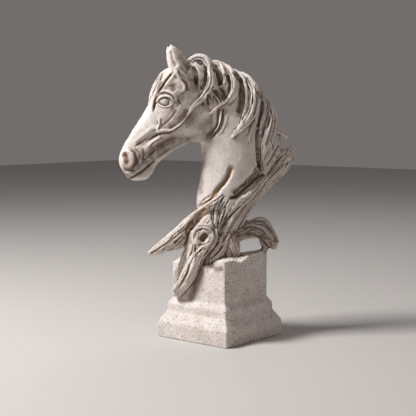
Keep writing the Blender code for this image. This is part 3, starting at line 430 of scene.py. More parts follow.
# Paths in side view that more than one tool or brush follows
CHEEK_LINE = ((28, 149), (33, 143), (38, 136), (44, 131), (51, 127), (59, 127), (63, 126), (69, 123),
              (76, 119))
MOUTH = ((66.5, 96.5), (69.5, 94), (74, 90.5), (79, 86.5), (85, 82.5), (90, 79.5), (94, 77.5))
NOSTRIL_SLIT = ((96.8, 102.5), (95.2, 99.5), (94.6, 95.5))
FORELOCK_GAP = ((58.5, 183), (60, 178), (61.6, 172), (63, 167))
NECK_SLIT = ((-8.8, 90), (-7, 84), (-4.6, 79), (-1.5, 74.5), (2, 70.8), (5, 66.5), (7.5, 62.5))
BRANCH_CRACK = ((7, 63.5), (11, 58.5), (16, 54.5), (21, 51))
KNOT_MIDDLE = ((15.8, 24), (18.8, 21), (21.6, 17))

# Tool strokes in side view: half width, height or depth, then the path of forward and up.
FACE_STROKES = (
    (7, -1.4, ((49, 173), (48, 169), (46, 166))),
    (3.6, 1.8, ((45, 187), (43, 182), (39.5, 176), (37, 171), (38.5, 166), (43, 164))),
    (3.2, -1.6, ((40, 178), (36, 173), (33, 166))),
    (2.6, -1.6, ((47, 185), (51, 181), (56, 175), (60, 169), (64, 164), (66.5, 158), (67, 151),
                 (68, 145))),
    (3.2, 1.4, ((45, 186), (49, 179.5), (54, 173.5), (59, 167))),
    (3.6, 2, ((66, 154), (63.5, 160), (58.5, 164.5), (53, 164), (48, 160.5), (44.5, 156))),
    (5.6, 1.3, ((34, 155), (41, 149.5), (45, 144), (50, 137), (57, 131), (63, 126))),
    (5, -1, ((35, 149), (41, 142), (46, 135), (52, 130))),
    (2.8, 0.8, CHEEK_LINE),
    (2.4, 0.7, ((62, 140), (62, 134), (64, 129), (63, 124), (62, 119))),
    (3.6, 0.8, ((63, 133), (71, 128), (77, 123), (83, 118), (89, 113))),
    (6, -1.8, ((61, 124), (70, 120), (77, 115.5), (84, 111))),
    (4.2, 1, ((54, 123), (62, 119.5), (68, 115), (72, 111), (74, 105))),
    (5, -1.3, ((47, 122), (56, 115), (63, 110), (69, 104.5), (72, 98))),
    (3.6, 0.8, ((50, 117), (58, 110.5), (64, 106), (70, 100))),
    (3.4, -2.4, ((3, 149), (4.5, 139), (5.5, 132), (9.5, 126), (15, 120))),
    (2.4, 1.6, ((0.5, 148), (1, 140), (2.5, 132), (7, 125.5), (13, 119))),
    (2.2, -1.8, ((-2, 148), (-1.5, 140), (0.5, 132.5), (4.5, 125), (11, 119))),
    (2.4, 1.2, ((-5, 146), (-4, 138), (-1, 129.5), (5, 121))),
    (2.8, 1.8, ((96, 106), (91.5, 105.5), (88.5, 101), (88.5, 95.5), (91.5, 91.5), (97, 90.5))),
    (2.2, -1.2, ((92, 109), (86.5, 106), (84.5, 99.5), (86.5, 93), (91, 88.5), (96, 87.5))),
    (2.4, 0.8, ((86, 110), (81.5, 104), (81, 98), (83, 92), (88, 87))),
    (3.2, 1.2, ((99, 88), (94, 84.5), (88, 84), (82, 88), (76, 93))),
    (2.6, -2.6, MOUTH),
    (2.2, 1.3, ((64, 153.5), (62.5, 157.5), (58.5, 160.2), (54, 160.2), (50, 157.5), (48, 154.5))),
    (2, 1, ((64, 153.5), (61, 151.3), (57, 150.4), (52.5, 151.2), (48.5, 154))),
)
NOSTRIL = (4.2, -4.8, NOSTRIL_SLIT)
NOSTRIL_POINTS = 8

# Eyeball: its middle and radius, and the socket pressed for it: middle, half sizes and depth.
EYE = (56.2, 11.6, 155.6)
EYE_RADIUS = 6.6
SOCKET = (56.2, 17.0, 155.6)
SOCKET_SIZE = (11.0, 9.0, 8.5)
SOCKET_DEPTH = 2.4

# Gaps between the locks, the slit in the neck, the shoulder and the wood, on the near side
NEAR_STROKES = (
    (3.2, -3.6, ((15.5, 191), (16.5, 184), (16.8, 176), (20, 167))),
    (2.8, -2.6, ((29, 190), (26.5, 185), (25.5, 179), (25, 172))),
    (4.6, -6.4, ((7.5, 189), (3.5, 183), (1, 177), (0, 170), (-3, 163), (-3, 157))),
    (3.6, -4.2, ((9, 170), (6, 165), (1, 160), (-3, 156))),
    (3.2, -3.6, ((-4, 184), (-7, 178), (-8, 172), (-7, 166), (-4, 161))),
    (4.6, -5.2, ((-13.5, 185), (-18, 177), (-19.5, 168), (-20, 159), (-18.5, 151), (-16, 144))),
    (3, -4.8, ((-36.5, 166), (-40, 157), (-40.3, 148), (-38.3, 138), (-36.8, 129))),
    (3.6, -5.6, ((-37, 129), (-36.8, 119), (-37, 108), (-37.8, 99), (-40, 90))),
    (2.6, -2.4, ((-48, 142), (-47, 134), (-44.5, 128))),
    (4, -4.6, NECK_SLIT),
    (2.2, -1.4, ((9, 63), (14, 60), (18, 57), (21, 53), (24, 48))),
    (6.8, -4.4, ((-12, 62), (-19, 67), (-26, 73), (-33, 79), (-38, 86))),
    (3.4, -5, ((-8, 59), (-13, 60), (-18, 63.5), (-24, 69), (-31, 74.5), (-38, 80), (-43.5, 82.5))),
    (5.4, -5.4, ((16, 49), (21, 44.5), (26, 39), (30.5, 33.5), (33.5, 28))),
    (4, -4, ((38, 21), (42, 17), (48, 13.5))),
    (2.6, -2.2, ((10, 47), (10, 39), (7, 32), (3, 26), (1, 20))),
    (2.4, -2, ((5, 33), (4, 42), (1, 50), (-3, 56))),
    (2.4, -1.8, ((0, 29), (-6, 38), (-12, 46), (-20, 52))),
    (3, -2.2, ((-26, 54), (-19, 44), (-12, 34), (-6, 24), (0, 14))),
    (2.6, -1.8, ((-34, 53), (-27, 43), (-20, 32), (-14, 22))),
    (2.8, -1.3, ((-20, 28.5), (-30, 29.5), (-40, 27), (-47, 20), (-53, 11))),
    (2.6, -1.2, ((-14, 20), (-22, 21.5), (-32, 21.5), (-40, 17), (-46, 9))),
    (2.8, -2, ((27, 14), (29.5, 5), (32.5, -5), (36, -15), (40, -25), (43, -34))),
    (2.6, -1.4, ((18, 11), (23, 2), (27.5, -8), (31.5, -18), (36, -28))),
    (2.6, -1.2, ((34, 10), (37.5, -2), (41.5, -14), (44.5, -24))),
    (2.6, -1.8, ((-66, 105), (-58, 96), (-50, 86))),
    (2.6, -1.8, ((-60, 112), (-53, 100), (-46, 90))),
)

# The knot in the wood: its rim, its hole, and the hole's floor, which is pressed in a little deeper.
KNOT_RIM = (4.8, 1.5, ((29, 19), (28, 27), (21, 32), (12.5, 29), (11, 21), (16, 14.5), (24, 12), (29, 19)))
RIM_POINTS = 40
KNOT_HOLE = (4.8, -5.2, KNOT_MIDDLE)
KNOT_FLOOR = (3.8, -2.6, 2.5)

# Finer strokes, made on both sides
FINE_FACE = (
    (1.7, 0.9, CHEEK_LINE + ((81, 115),)),
    (1.7, -1.2, ((30, 144.5), (35, 138.5), (40.5, 132.5), (46, 128), (52, 124.5), (60, 124), (66, 121.5),
                 (72, 118))),
    (1.4, 0.9, ((63, 139), (62, 134), (64, 129), (62.5, 124), (62, 119))),
    (1.2, -0.4, ((60.5, 138), (59.8, 133), (61.5, 129))),
    (2.2, -1.1, ((45.5, 147), (50, 140), (56, 134), (60, 130.5))),
    (1.4, -1.2, MOUTH),
    (1.6, -1.1, ((91, 107), (86.8, 104.5), (85.2, 99), (87, 93), (91.5, 89))),
    (1.5, -0.9, ((86, 108.5), (82.3, 104), (81.8, 98), (83.8, 92))),
    (1.5, -0.7, ((78.5, 109), (77.2, 103), (78, 97))),
    (1.6, -0.8, ((97, 86.5), (92, 86.8), (87, 88.2))),
    (1.5, -0.9, ((70, 103), (74, 99.5), (79, 97))),
    (1.5, -0.7, ((66, 108), (71, 103.5), (76, 100.5))),
    (1.7, -1.8, ((2.2, 149), (3.4, 141), (3.6, 134), (6.6, 127.5), (12, 121.5))),
    (1.6, -1.7, ((-1.2, 148), (-0.6, 140), (1.3, 132.5), (5.4, 125.5), (11.5, 119))),
    (1.4, -0.8, ((-4.2, 147), (-3.4, 139), (-1.2, 131.5), (3.4, 124))),
    (1.8, -2.4, ((50, 183), (53.5, 177.5), (57.5, 171.5), (61.5, 165.5), (64.3, 160.5), (66.2, 155),
                 (67, 150.5), (67.8, 146))),
    (2, -1.2, FORELOCK_GAP),
    (1.4, -0.9, ((72.2, 109), (68.5, 114), (63, 117.5), (58.5, 119.6))),
    (1.4, -0.8, ((65, 104), (56, 111.5), (46, 116.5))),
    (1.5, -0.9, ((69.8, 96.5), (61, 101.5), (51, 109))),
    (1.4, -0.8, ((86, 111), (80, 115.5), (74, 120), (66, 125))),
    (1.3, -0.7, ((44, 187), (41, 182.5), (36.5, 179))),
    (1.3, -0.7, ((42, 190), (38.5, 186), (34, 183))),
    (1.6, -1, ((43.5, 186), (42, 181), (38, 175.5), (35.3, 171), (36.5, 165.5), (41, 162.5))),
    (1.6, -1, ((65.5, 158.5), (62, 163), (57, 164.4), (51.5, 162.2), (47, 158.5))),
    (1.6, -0.9, ((44, 160), (43, 156), (40, 152))),
)

# Finer strokes on the near side: loose hairs, cracks and torn edges
FINE_NEAR = (
    (1.5, -1.2, ((8, 161), (5, 157), (3, 153))),
    (1.5, -1.2, ((6, 164), (3, 160), (0, 154))),
    (1.5, -1.2, ((5, 167), (1, 163), (-2, 159))),
    (1.8, -1.6, ((13, 163), (14, 158), (13, 152))),
    (1.6, -1.3, ((26.5, 196), (20, 195), (16.5, 190), (14, 183), (13.5, 176), (15.5, 169))),
    (1.5, -1.1, ((-5, 189), (-9, 183), (-10.5, 176), (-10.3, 169), (-8, 162))),
    (1.5, -1.2, ((-26, 180), (-30, 171), (-30.8, 161), (-29.5, 151), (-26, 142), (-21, 134))),
    (1.5, -1.2, ((-24, 176), (-28, 168), (-28.4, 158), (-27, 149), (-23.5, 141))),
    (1.5, -1.2, ((-33, 171), (-35.5, 161), (-34.6, 151), (-32, 143))),
    (1.6, -1.4, ((-46, 156), (-46.8, 147), (-46, 138), (-43.5, 129), (-41, 120))),
    (1.5, -1.2, ((-50, 148), (-51.5, 139), (-50.2, 130), (-47.6, 121), (-45, 112))),
    (1.4, -1, ((-53, 142), (-54, 133), (-52, 124), (-49.5, 116))),
    (2.2, -2.5, ((-37, 96), (-39, 90), (-41, 85))),
    (1.6, -2, BRANCH_CRACK),
    (1.8, -2.6, ((-8, 59.5), (-13, 60), (-18, 63.5), (-24, 69), (-31, 74.3), (-38, 79.5), (-43.5, 82))),
    (1.2, -1.7, ((-9.4, 62), (-4.4, 53.4), (0.6, 46), (3.7, 36.5), (5, 29))),
    (1.2, -1.4, ((-3.8, 51), (-1.9, 43), (1.2, 35.3), (2.5, 29))),
    (1.2, -1.3, ((-9.4, 48.4), (-5, 41.5), (0, 31.5), (1, 27))),
    (1.3, -1.4, ((-17.5, 50.3), (-9.4, 42), (-2, 33.4), (2.5, 26))),
    (1.2, -1.3, ((2.5, 59), (6.2, 53.4), (8.5, 46), (8.3, 37))),
    (1.5, -1.4, ((-2, 61), (2, 54), (5, 46))),
    (1.4, -2, ((3.8, 15.3), (11.3, 6.5), (16.3, 1), (21.3, -3.5), (24.5, -9))),
    (1.3, -1.8, ((-1.2, 12.1), (3.8, 6.5), (8.8, 1.5), (12.5, -1.6))),
    (1.2, -1.6, ((33.8, -6), (34.6, -11.6), (38.8, -21), (44.4, -32))),
    (1.2, -1.5, ((21.3, 9), (26.3, 4.6), (30.7, -0.4))),
    (1.4, -1, ((27.5, 14), (26.9, 7.8), (28.8, 2.8))),
    (1.4, -0.8, ((32.4, 26), (28.5, 30.4), (21, 32.2), (14, 31.6), (8.6, 27.8), (7.4, 21), (9.6, 15))),
    (1.2, -0.8, ((27.5, 20), (26.2, 25.6), (20.5, 29), (13.8, 27.6))),
    (1.2, -0.8, ((24.6, 13.6), (19.5, 14), (14.2, 16.4), (11.6, 21))),
    (1.8, 1.2, ((7.2, 21), (6.2, 27), (7, 33), (8, 37))),
    (1.6, -1.4, ((34.5, 21), (36, 27), (33, 33.5))),
    (1.8, -1.8, ((-15, 64), (-19, 70.5), (-24, 72.5), (-26.5, 79.5), (-32, 82), (-34.5, 89), (-39.5, 92))),
    (1.5, -1.1, ((-25, 70), (-28.5, 75), (-30.5, 80))),
    (1.5, -1.1, ((-31, 74.5), (-34, 80), (-36, 86))),
    (1.5, -1.1, ((-37, 79.5), (-39, 84), (-40.5, 90))),
    (3, 1.3, ((-19, 60.5), (-25, 61.5), (-30.5, 65.5))),
)

# The eye: lid creases and rims, the iris's middle from the eyeball's and its ring, and where the mesh
# is finer: middle and reach
EYE_STROKES = (
    (1.5, 0.9, ((64, 155.2), (62, 158.8), (57, 160.9), (51.4, 159.6), (48.4, 155.4))),
    (1.1, -1.1, ((62.6, 155.4), (60.4, 158.4), (56.4, 159.4), (52, 158.1), (49.6, 155))),
    (1.2, -1, ((65.2, 156.8), (62.6, 161), (57, 163.2), (50.4, 161.4), (46.6, 157))),
    (1.3, 0.7, ((63.6, 154), (61, 151.6), (57, 150.3), (52.6, 150.9), (49, 153.8))),
    (1, -1, ((62.6, 154.2), (60.4, 152.4), (57, 151.4), (53.4, 151.9), (50.2, 154.2))),
    (1.2, -0.8, ((64, 154.8), (66.2, 152.4), (67, 149.5))),
    (1.2, -0.7, ((48.5, 154.8), (45.5, 153.6), (42.5, 151.5))),
)
IRIS_FORWARD = 0.3
IRIS_UP = -0.8
IRIS_RADIUS = 3.7
IRIS_STROKE = (0.95, -0.55)
IRIS_CORNERS = 25
IRIS_POINTS = 48
FINE_SPOTS = ((56.5, 14.0, 155.5, 11.0), (93.0, 8.0, 98.0, 9.0))

# Ochre-brown painted shade in the deepest places and on shaded undersides: half width, strength and path.
# On both sides, then on the near side
FACE_OCHRE_SHADE = (
    (2.8, 0.5, FORELOCK_GAP),
    (2.2, 0.4, ((49, 184), (53.5, 177.5), (57.5, 171.5), (61.5, 165.5), (64.3, 160.5), (66.2, 155),
                (67.8, 146))),
    (4, 0.9, NOSTRIL_SLIT),
    (1.8, 0.6, MOUTH[::2]),
    (3.4, 0.6, ((2, 148), (3, 140), (4, 132), (9, 125), (14, 119))),
)
NEAR_OCHRE_SHADE = (
    (4.2, 1, NECK_SLIT),
    (2.4, 0.6, BRANCH_CRACK + ((27, 44),)),
    (4.8, 0.9, KNOT_MIDDLE),
    (5.5, 0.7, ((14, 50), (21, 44), (26, 38.5), (30.5, 33), (33.5, 27), (35, 20))),
    (3.4, 0.4, ((31, 31), (36, 27), (42, 21), (50, 15), (58, 10))),
    (6, 0.4, ((-14, 62), (-20, 67), (-27, 73), (-34, 79), (-38, 86))),
    (2, 0.5, ((20, 167), (25, 160), (31.5, 152))),
)

# Brown painted shade brushed over the parts that lie in shade: half width, strength and path. Both sides,
# then the near side
FACE_PAINTED_SHADE = (
    (6, 1, ((45, 206), (42, 199), (38.5, 192), (33, 185))),
    (7, 0.9, ((36, 190), (31, 183), (27, 176), (28, 168))),
    (5, 0.7, ((64, 181), (61, 174), (57, 168))),
    (6, 0.6, ((48, 172), (43, 165), (41, 157), (47, 150), (52, 140), (58, 132))),
    (13, 0.9, ((94, 86), (84, 95), (72, 102), (60, 108), (46, 114))),
    (10, 0.85, ((50, 115), (38, 116), (26, 117), (15, 122))),
    (12, 0.6, ((33, 138), (24, 134), (14, 134))),
    (6, 0.7, ((86, 84), (80, 83), (72, 87))),
    (7, 0.7, ((24, 116), (20, 104), (19, 92), (20, 78), (21, 66))),
)
NEAR_PAINTED_SHADE = (
    (5, 0.9, ((9, 190), (4, 182), (1, 172), (-2, 163), (-4, 155), (2, 150))),
    (4, 0.8, ((-5, 188), (-8, 178), (-9, 168), (-5, 158))),
    (5, 0.6, ((13, 166), (9, 158), (6, 151))),
    (4.5, 0.8, ((-14, 184), (-19, 175), (-21, 164), (-21, 153), (-18, 143))),
    (2.2, 0.8, ((-36, 166), (-40, 155), (-40, 145), (-38, 134), (-37, 122), (-37, 108), (-39, 94))),
    (3, 0.3, ((-45, 150), (-45, 140), (-42, 128))),
    (7.5, 1, ((-14, 64), (-20, 69), (-27, 75), (-34, 82), (-39, 89))),
    (6, 0.15, ((-26, 62), (-20, 50), (-13, 38), (-6, 26))),
    (8, 0.3, ((-40, 70), (-31, 54), (-22, 40), (-14, 28))),
    (10, 1, ((-14, 22), (-26, 24), (-38, 22), (-48, 12), (-54, 2))),
    (5.5, 0.9, ((-28, 34), (-38, 34), (-46, 31), (-52, 22), (-57, 12))),
    (4, 0.9, ((18, -2), (13, -6), (8, -9), (3, -8))),
    (3.5, 0.7, ((-8, 3), (-18, 1), (-28, 1), (-36, 3))),
    # Painted shadow on the shaded half of the middle root and on the plinth's face beside it
    (6.5, 0.85, ((15, 6), (19, -5), (24, -18), (28, -31), (31, -42))),
    (4, 0.3, ((14, 50), (22, 43), (29, 34), (35, 24))),
    (5, 0.35, ((12, 30), (20, 32), (28, 28), (28, 18), (20, 14))),
)

# How sharply a coat ends at its edge: the ochre painted shade, the brown painted shade and the painted
# shade that runs into cut lines. A cut holds painted shade a little past its own width, more of it where it
# is deeper.
OCHRE_SHADE_FIRMNESS = 2.0
SHADE_FIRMNESS = 1.3
CUT_FIRMNESS = 1.6
CUT_SHADE_SPARE = 0.3
CUT_SHADE_LEAST = 0.35
CUT_SHADE_DEPTH = 0.4

# Roughness: seed, size of the lumps and their height, in millimetres. Then how a seed shifts the noise,
# and the noise's roughness, spacing of octaves and number of octaves.
STONE_LUMPS = (3.0, 7.0, 0.22)
TIMBER_PITS = (11.0, 1.4, 0.17)
TOP_CRUMBS = (5.0, 2.4, 1.0)
LUMP_OFFSET = (1.0, 2.7, -1.9)
LUMP_NOISE = (0.9, 2.1, 3)

# Crumbs lie on the plinth's top and a little way down its broken edge, mostly where it faces up. The
# underside stays flat.
CRUMB_SPARE = 2.0
CRUMB_BLEND = 3.0
CRUMB_DROP = 3.0
CRUMB_REACH = 14.0
CRUMB_UP = (1.5, 0.6)
FLAT_BELOW = 1.0


def fair_curve(knots, count):
    """Evenly spaced points on a smooth curve through the knots. Columns after the third ride along."""
    knots = np.asarray(knots, float)
    reach = np.linalg.norm(np.diff(knots[:, :3], axis=0), axis=1)
    place = np.concatenate([[0.0], np.cumsum(reach)])
    slope = np.gradient(knots, place, axis=0)
    t = np.linspace(0.0, place[-1], count)
    i = np.clip(np.searchsorted(place, t, side="right") - 1, 0, len(knots) - 2)
    span = (place[i + 1] - place[i])[:, None]
    u = (t - place[i])[:, None] / span
    return (
        knots[i] * (1 + 2 * u) * (1 - u) ** 2
        + knots[i + 1] * u * u * (3 - 2 * u)
        + slope[i] * span * u * (1 - u) ** 2
        - slope[i + 1] * span * u * u * (1 - u)
    )


def unit(vectors):
    return vectors / np.maximum(np.linalg.norm(vectors, axis=-1, keepdims=True), TINY)


def mirrored(spot, side):
    """A spot of the left side, or its like on the right. What follows the three places is kept."""
    forward, left, *rest = spot
    return (forward, side * left, *rest)


def added(name, data):
    """A new object in the scene."""
    holder = bpy.data.objects.new(name, data)
    bpy.context.scene.collection.objects.link(holder)
    return holder


def heaped(meshes):
    """One form that holds all of the meshes."""
    form = bmesh.new()
    for mesh in meshes:
        form.from_mesh(mesh)
    return form


def poured(form, mesh):
    """The mesh with the form in it, which is then done with."""
    form.to_mesh(mesh)
    form.free()
    return mesh


def tree_of(meshes):
    """The faces of the meshes, sorted for finding the nearest or the one that a ray meets."""
    form = heaped(meshes)
    tree = BVHTree.FromBMesh(form)
    form.free()
    return tree


def loft(name, rings):
    """A closed mesh skinned over rings of equally many points, with a flat cap at each end."""
    rings = np.asarray(rings, float)
    count, sides = rings.shape[:2]
    faces = []
    for low in range(0, (count - 1) * sides, sides):
        for k in range(sides):
            after = (k + 1) % sides
            faces.append((low + k, low + after, low + sides + after, low + sides + k))
    faces.append(tuple(reversed(range(sides))))
    faces.append(tuple(range((count - 1) * sides, count * sides)))
    mesh = bpy.data.meshes.new(name)
    mesh.from_pydata((rings.reshape(-1, 3) * MM).tolist(), [], faces)
    form = heaped([mesh])
    bmesh.ops.recalc_face_normals(form, faces=form.faces)
    return poured(form, mesh)


def furrow(spot, sharpness):
    """How deep a furrow is at a spot of the stretched noise: 1 along its middle, 0 away from it."""
    return max(0.0, 1.0 - abs(noise.noise(spot)) * sharpness)


def limb_axes(knots, facing, step):
    """Points down a limb about a step apart, its half sizes there, and its wide and thin directions."""
    knots = np.asarray(knots, float)
    length = np.linalg.norm(np.diff(knots[:, :3], axis=0), axis=1).sum()
    line = fair_curve(knots, max(FEWEST_RINGS, int(length / step)))
    centre, half = line[:, :3], np.maximum(line[:, 3:5], THINNEST)
    along = unit(np.gradient(centre, axis=0))
    facing = line[:, 5:] if line.shape[1] > 5 else facing
    across = unit(np.cross(along, facing))
    return centre, half, along, across, unit(np.cross(across, along))


def limb(name, knots, facing=SIDE, step=LIMB_STEP, sides=LIMB_SIDES, flutes=0, flute_depth=0.0,
         twist=0.0, grain=None):
    """A tapering limb with round ends, its thin way along facing or along the knots' last columns."""
    centre, half, along, across, outward = limb_axes(knots, facing, step)
    angle = np.linspace(0.0, 2 * math.pi, sides, endpoint=False)
    last = len(centre) - 1
    girth = half.mean()
    stations = [(0, -a, math.cos(a)) for a in END_ANGLES]
    stations += [(i, 0.0, 1.0) for i in range(last + 1)]
    stations += [(last, a, math.cos(a)) for a in reversed(END_ANGLES)]
    rings = []
    for i, overrun, shrink in stations:
        turned = angle + twist * i / last
        flute = 1 + flute_depth * np.cos(flutes * turned)
        sunk = np.zeros(sides)
        if grain:
            spacing, reach, depth, sharpness = grain
            depth = min(depth, DEEPEST_FURROW * half[i].min()) * shrink
            place = centre[0, 0] + i * step / reach
            round_x = np.cos(turned) * girth / spacing
            round_y = np.sin(turned) * girth / spacing
            for k in range(sides):
                sunk[k] = depth * furrow(Vector((round_x[k], round_y[k], place)), sharpness)
        middle = centre[i] + along[i] * math.sin(overrun) * half[i].min()
        wide = np.cos(angle) * (flute * shrink * half[i, 0] - sunk)
        thick = np.sin(angle) * (flute * shrink * half[i, 1] - sunk)
        rings.append(middle + np.outer(wide, across[i]) + np.outer(thick, outward[i]))
    return loft(name, rings)


def limb_lines(plan, spacing, reach, random):
    """Lines down a planned limb's surface, about this far apart round it and this long."""
    centre, half, _, across, outward = limb_axes(plan["knots"], plan.get("facing", SIDE), CUT_STEP)
    last = len(centre) - 1
    count = max(FEWEST_CUTS, round(2 * math.pi * half.mean() / spacing))
    lines = []
    for k in range(count):
        turn = 2 * math.pi * (k + random.uniform(*CUT_SHIFTS)) / count
        start = int(random.uniform(*CUT_STARTS) * reach / CUT_STEP)
        while start < last:
            end = start + int(random.uniform(*CUT_LENGTHS) * reach / CUT_STEP)
            rows = np.arange(max(start, 0), min(end, last) + 1)
            if len(rows) > 2:
                sway = np.sin(SWAY_STEP * rows + random.uniform(*SWAY_STARTS))
                sway = CUT_SWAY / count * 2 * math.pi * sway
                angle = turn + sway + plan.get("twist", 0.0) * rows / last
                wide = (np.cos(angle) * half[rows, 0])[:, None] * across[rows]
                thick = (np.sin(angle) * half[rows, 1])[:, None] * outward[rows]
                lines.append(centre[rows] + wide + thick)
            start = end + int(random.uniform(*CUT_GAPS) * reach / CUT_STEP) + 1
    return lines


def ball(name, centre, radii):
    form = bmesh.new()
    bmesh.ops.create_uvsphere(form, u_segments=BALL_SIDES, v_segments=BALL_RINGS, radius=1.0)
    bmesh.ops.scale(form, vec=Vector(radii) * MM, verts=form.verts)
    bmesh.ops.translate(form, vec=Vector(centre) * MM, verts=form.verts)
    return poured(form, bpy.data.meshes.new(name))


def modified(mesh, kind, **settings):
    """The mesh as one of Blender's modifiers leaves it."""
    holder = added(mesh.name, mesh)
    modifier = holder.modifiers.new(kind.title(), kind)
    for setting, value in settings.items():
        setattr(modifier, setting, value)
    graph = bpy.context.evaluated_depsgraph_get()
    made = bpy.data.meshes.new_from_object(holder.evaluated_get(graph))
    bpy.data.objects.remove(holder)
    return made


def largest_body(mesh):
    """The mesh without the small shells that a hollow between two limbs leaves inside it."""
    form = heaped([mesh])
    left = set(form.verts)
    bodies = []
    while left:
        seed = left.pop()
        body, edge = [seed], [seed]
        while edge:
            vertex = edge.pop()
            for link in vertex.link_edges:
                other = link.other_vert(vertex)
                if other in left:
                    left.discard(other)
                    body.append(other)
                    edge.append(other)
        bodies.append(body)
    bodies.sort(key=len)
    spare = [vertex for body in bodies[:-1] for vertex in body]
    bmesh.ops.delete(form, geom=spare, context="VERTS")
    return poured(form, mesh)


def fuse(name, meshes, cell, smoothing):
    """Overlapping closed meshes made into one skin of small even cells."""
    heap = poured(heaped(meshes), bpy.data.meshes.new(name))
    skin = modified(heap, "REMESH", mode="VOXEL", voxel_size=cell * MM, adaptivity=0.0)
    return modified(largest_body(skin), "SMOOTH", factor=0.5, iterations=smoothing)


def surface_data(mesh):
    """Vertex places in millimetres and normals."""
    count = len(mesh.vertices)
    points = np.empty(count * 3, np.float32)
    normals = np.empty(count * 3, np.float32)
    mesh.vertices.foreach_get("co", points)
    mesh.vertex_normals.foreach_get("vector", normals)
    return points.reshape(-1, 3).astype(float) / MM, normals.reshape(-1, 3).astype(float)


class Skin:
    """A mesh under the sculptor's tools, which move the vertices near them along their normals."""

    DRIFT = 7.0

    def __init__(self, mesh):
        self.mesh = mesh
        self.read()

    def read(self):
        self.points, self.normals = surface_data(self.mesh)
        self.order = np.argsort(self.points[:, 0])
        self.forward = self.points[self.order, 0]

    def write(self):
        self.mesh.vertices.foreach_set("co", (self.points * MM).astype(np.float32).ravel())
        self.mesh.update()
        self.read()

    def swell(self, centre, radii, height):
        """Raises a soft mound, or presses a hollow where height is negative."""
        away = np.linalg.norm((self.points - centre) / radii, axis=1)
        weight = np.clip(1 - away * away, 0, None) ** 2
        self.points += self.normals * (weight * height)[:, None]

    def stroke(self, path, width, height, taper=True):
        """Draws a ridge along a path, or a groove where height is negative, of this half width."""
        path = np.asarray(path, float)
        reach = width + self.DRIFT
        first, last = np.searchsorted(self.forward, (path[:, 0].min() - reach, path[:, 0].max() + reach))
        band = self.order[first:last]
        near, weight = brushed(self.points[band], path, width, taper)
        near = band[near]
        self.points[near] += self.normals[near] * (weight * height)[:, None]

    def draw(self, sides, strokes, side=1):
        """Makes all the strokes of a table, whose paths are in side view, on one side."""
        for width, height, path in strokes:
            self.stroke(sides.drape(path, side)[0], width, height)


def brushed(points, path, width, taper=True):
    """Which points lie within a width of the path, and how much a stroke along it moves each."""
    path = np.asarray(path, float)
    near = np.all((points > path.min(0) - width) & (points < path.max(0) + width), axis=1)
    near = np.flatnonzero(near)
    away = np.full(len(near), np.inf)
    share = np.zeros(len(near))
    spots = points[near]
    for i in range(len(path) - 1):
        run = path[i + 1] - path[i]
        t = np.clip((spots - path[i]) @ run / max(run @ run, TINY), 0, 1)
        gap = np.linalg.norm(spots - path[i] - t[:, None] * run, axis=1)
        closer = gap < away
        away[closer] = gap[closer]
        share[closer] = (i + t[closer]) / (len(path) - 1)
    weight = np.clip(1 - (away / width) ** 2, 0, None) ** 2
    if taper:
        weight *= np.clip(4 * share * (1 - share), 0, 1) ** 0.5
    return near, weight


class Sides:
    """Finds where a path drawn in the side view lies on the skin of the left (1) or right (-1) side."""

    REACH = 200.0
    POINTS = 24

    def __init__(self, mesh):
        self.tree = tree_of([mesh])

    def touch(self, forward, up, side):
        start = Vector((forward, side * self.REACH, up)) * MM
        spot, normal = self.tree.ray_cast(start, Vector((0, -side, 0)))[:2]
        return (None, None) if spot is None else (spot.y / MM, normal)

    def drape(self, knots, side=1, count=POINTS):
        """Points on the skin under a side-view path of forward, up and widths, and the normals there."""
        knots = np.asarray(knots, float)
        flat = fair_curve(np.insert(knots, 1, 0.0, axis=1), count)
        touches = [self.touch(p[0], p[2], side) for p in flat]
        known = [i for i, (depth, _) in enumerate(touches) if depth is not None]
        flat[:, 1] = np.interp(range(count), known, [touches[i][0] for i in known])
        facings = np.array([tuple(touches[i][1]) for i in known])
        normals = np.stack([np.interp(range(count), known, facing) for facing in facings.T], axis=1)
        for _ in range(3):
            flat[1:-1, 1] = (flat[:-2, 1] + 2 * flat[1:-1, 1] + flat[2:, 1]) / 4
            normals[1:-1] = (normals[:-2] + 2 * normals[1:-1] + normals[2:]) / 4
        return flat, unit(normals)


def head_mass():
    rings = []
    for station in HEAD_STATIONS:
        down, front, back = station[:3]
        depth = front - back
        left = [(front - share * depth, width) for share, width in zip(HEAD_SHARES, station[3:])]
        right = [(height, -width) for height, width in reversed(left)]
        outline = [(front, 0.0)] + left + [(back, 0.0)] + right + [(front, 0.0)]
        loop = fair_curve([(h, w, 0.0) for h, w in outline], HEAD_SIDES + 1)[:-1]
        middle = np.array(POLL) + HEAD_AXIS * down
        rings.append(middle + np.outer(loop[:, 0], HEAD_FRONT) + np.outer(loop[:, 1], SIDE))
    stations = np.array(rings)
    fine = np.concatenate([stations.mean(axis=1), stations.reshape(len(rings), -1)], axis=1)
    fine = fair_curve(fine, HEAD_RINGS)
    return loft("head", fine[:, 3:].reshape(HEAD_RINGS, HEAD_SIDES, 3))


def body():
    """Head, cheeks and neck without hair, with sockets pressed for the eyes."""
    masses = [
        head_mass(),
        limb("neck", NECK, step=NECK_STEP, sides=CORE_SIDES),
        limb("hair bed", HAIR_BED, sides=CORE_SIDES),
    ]
    for side in BOTH_SIDES:
        for name, mass in MASSES.items():
            masses.append(ball(name, mirrored(mass[:3], side), mass[3:]))
    skin = Skin(fuse("body", masses, BODY_CELL, BODY_SMOOTHING))
    for side in BOTH_SIDES:
        skin.swell(mirrored(SOCKET, side), SOCKET_SIZE, -SOCKET_DEPTH)
    skin.write()
    return skin.mesh


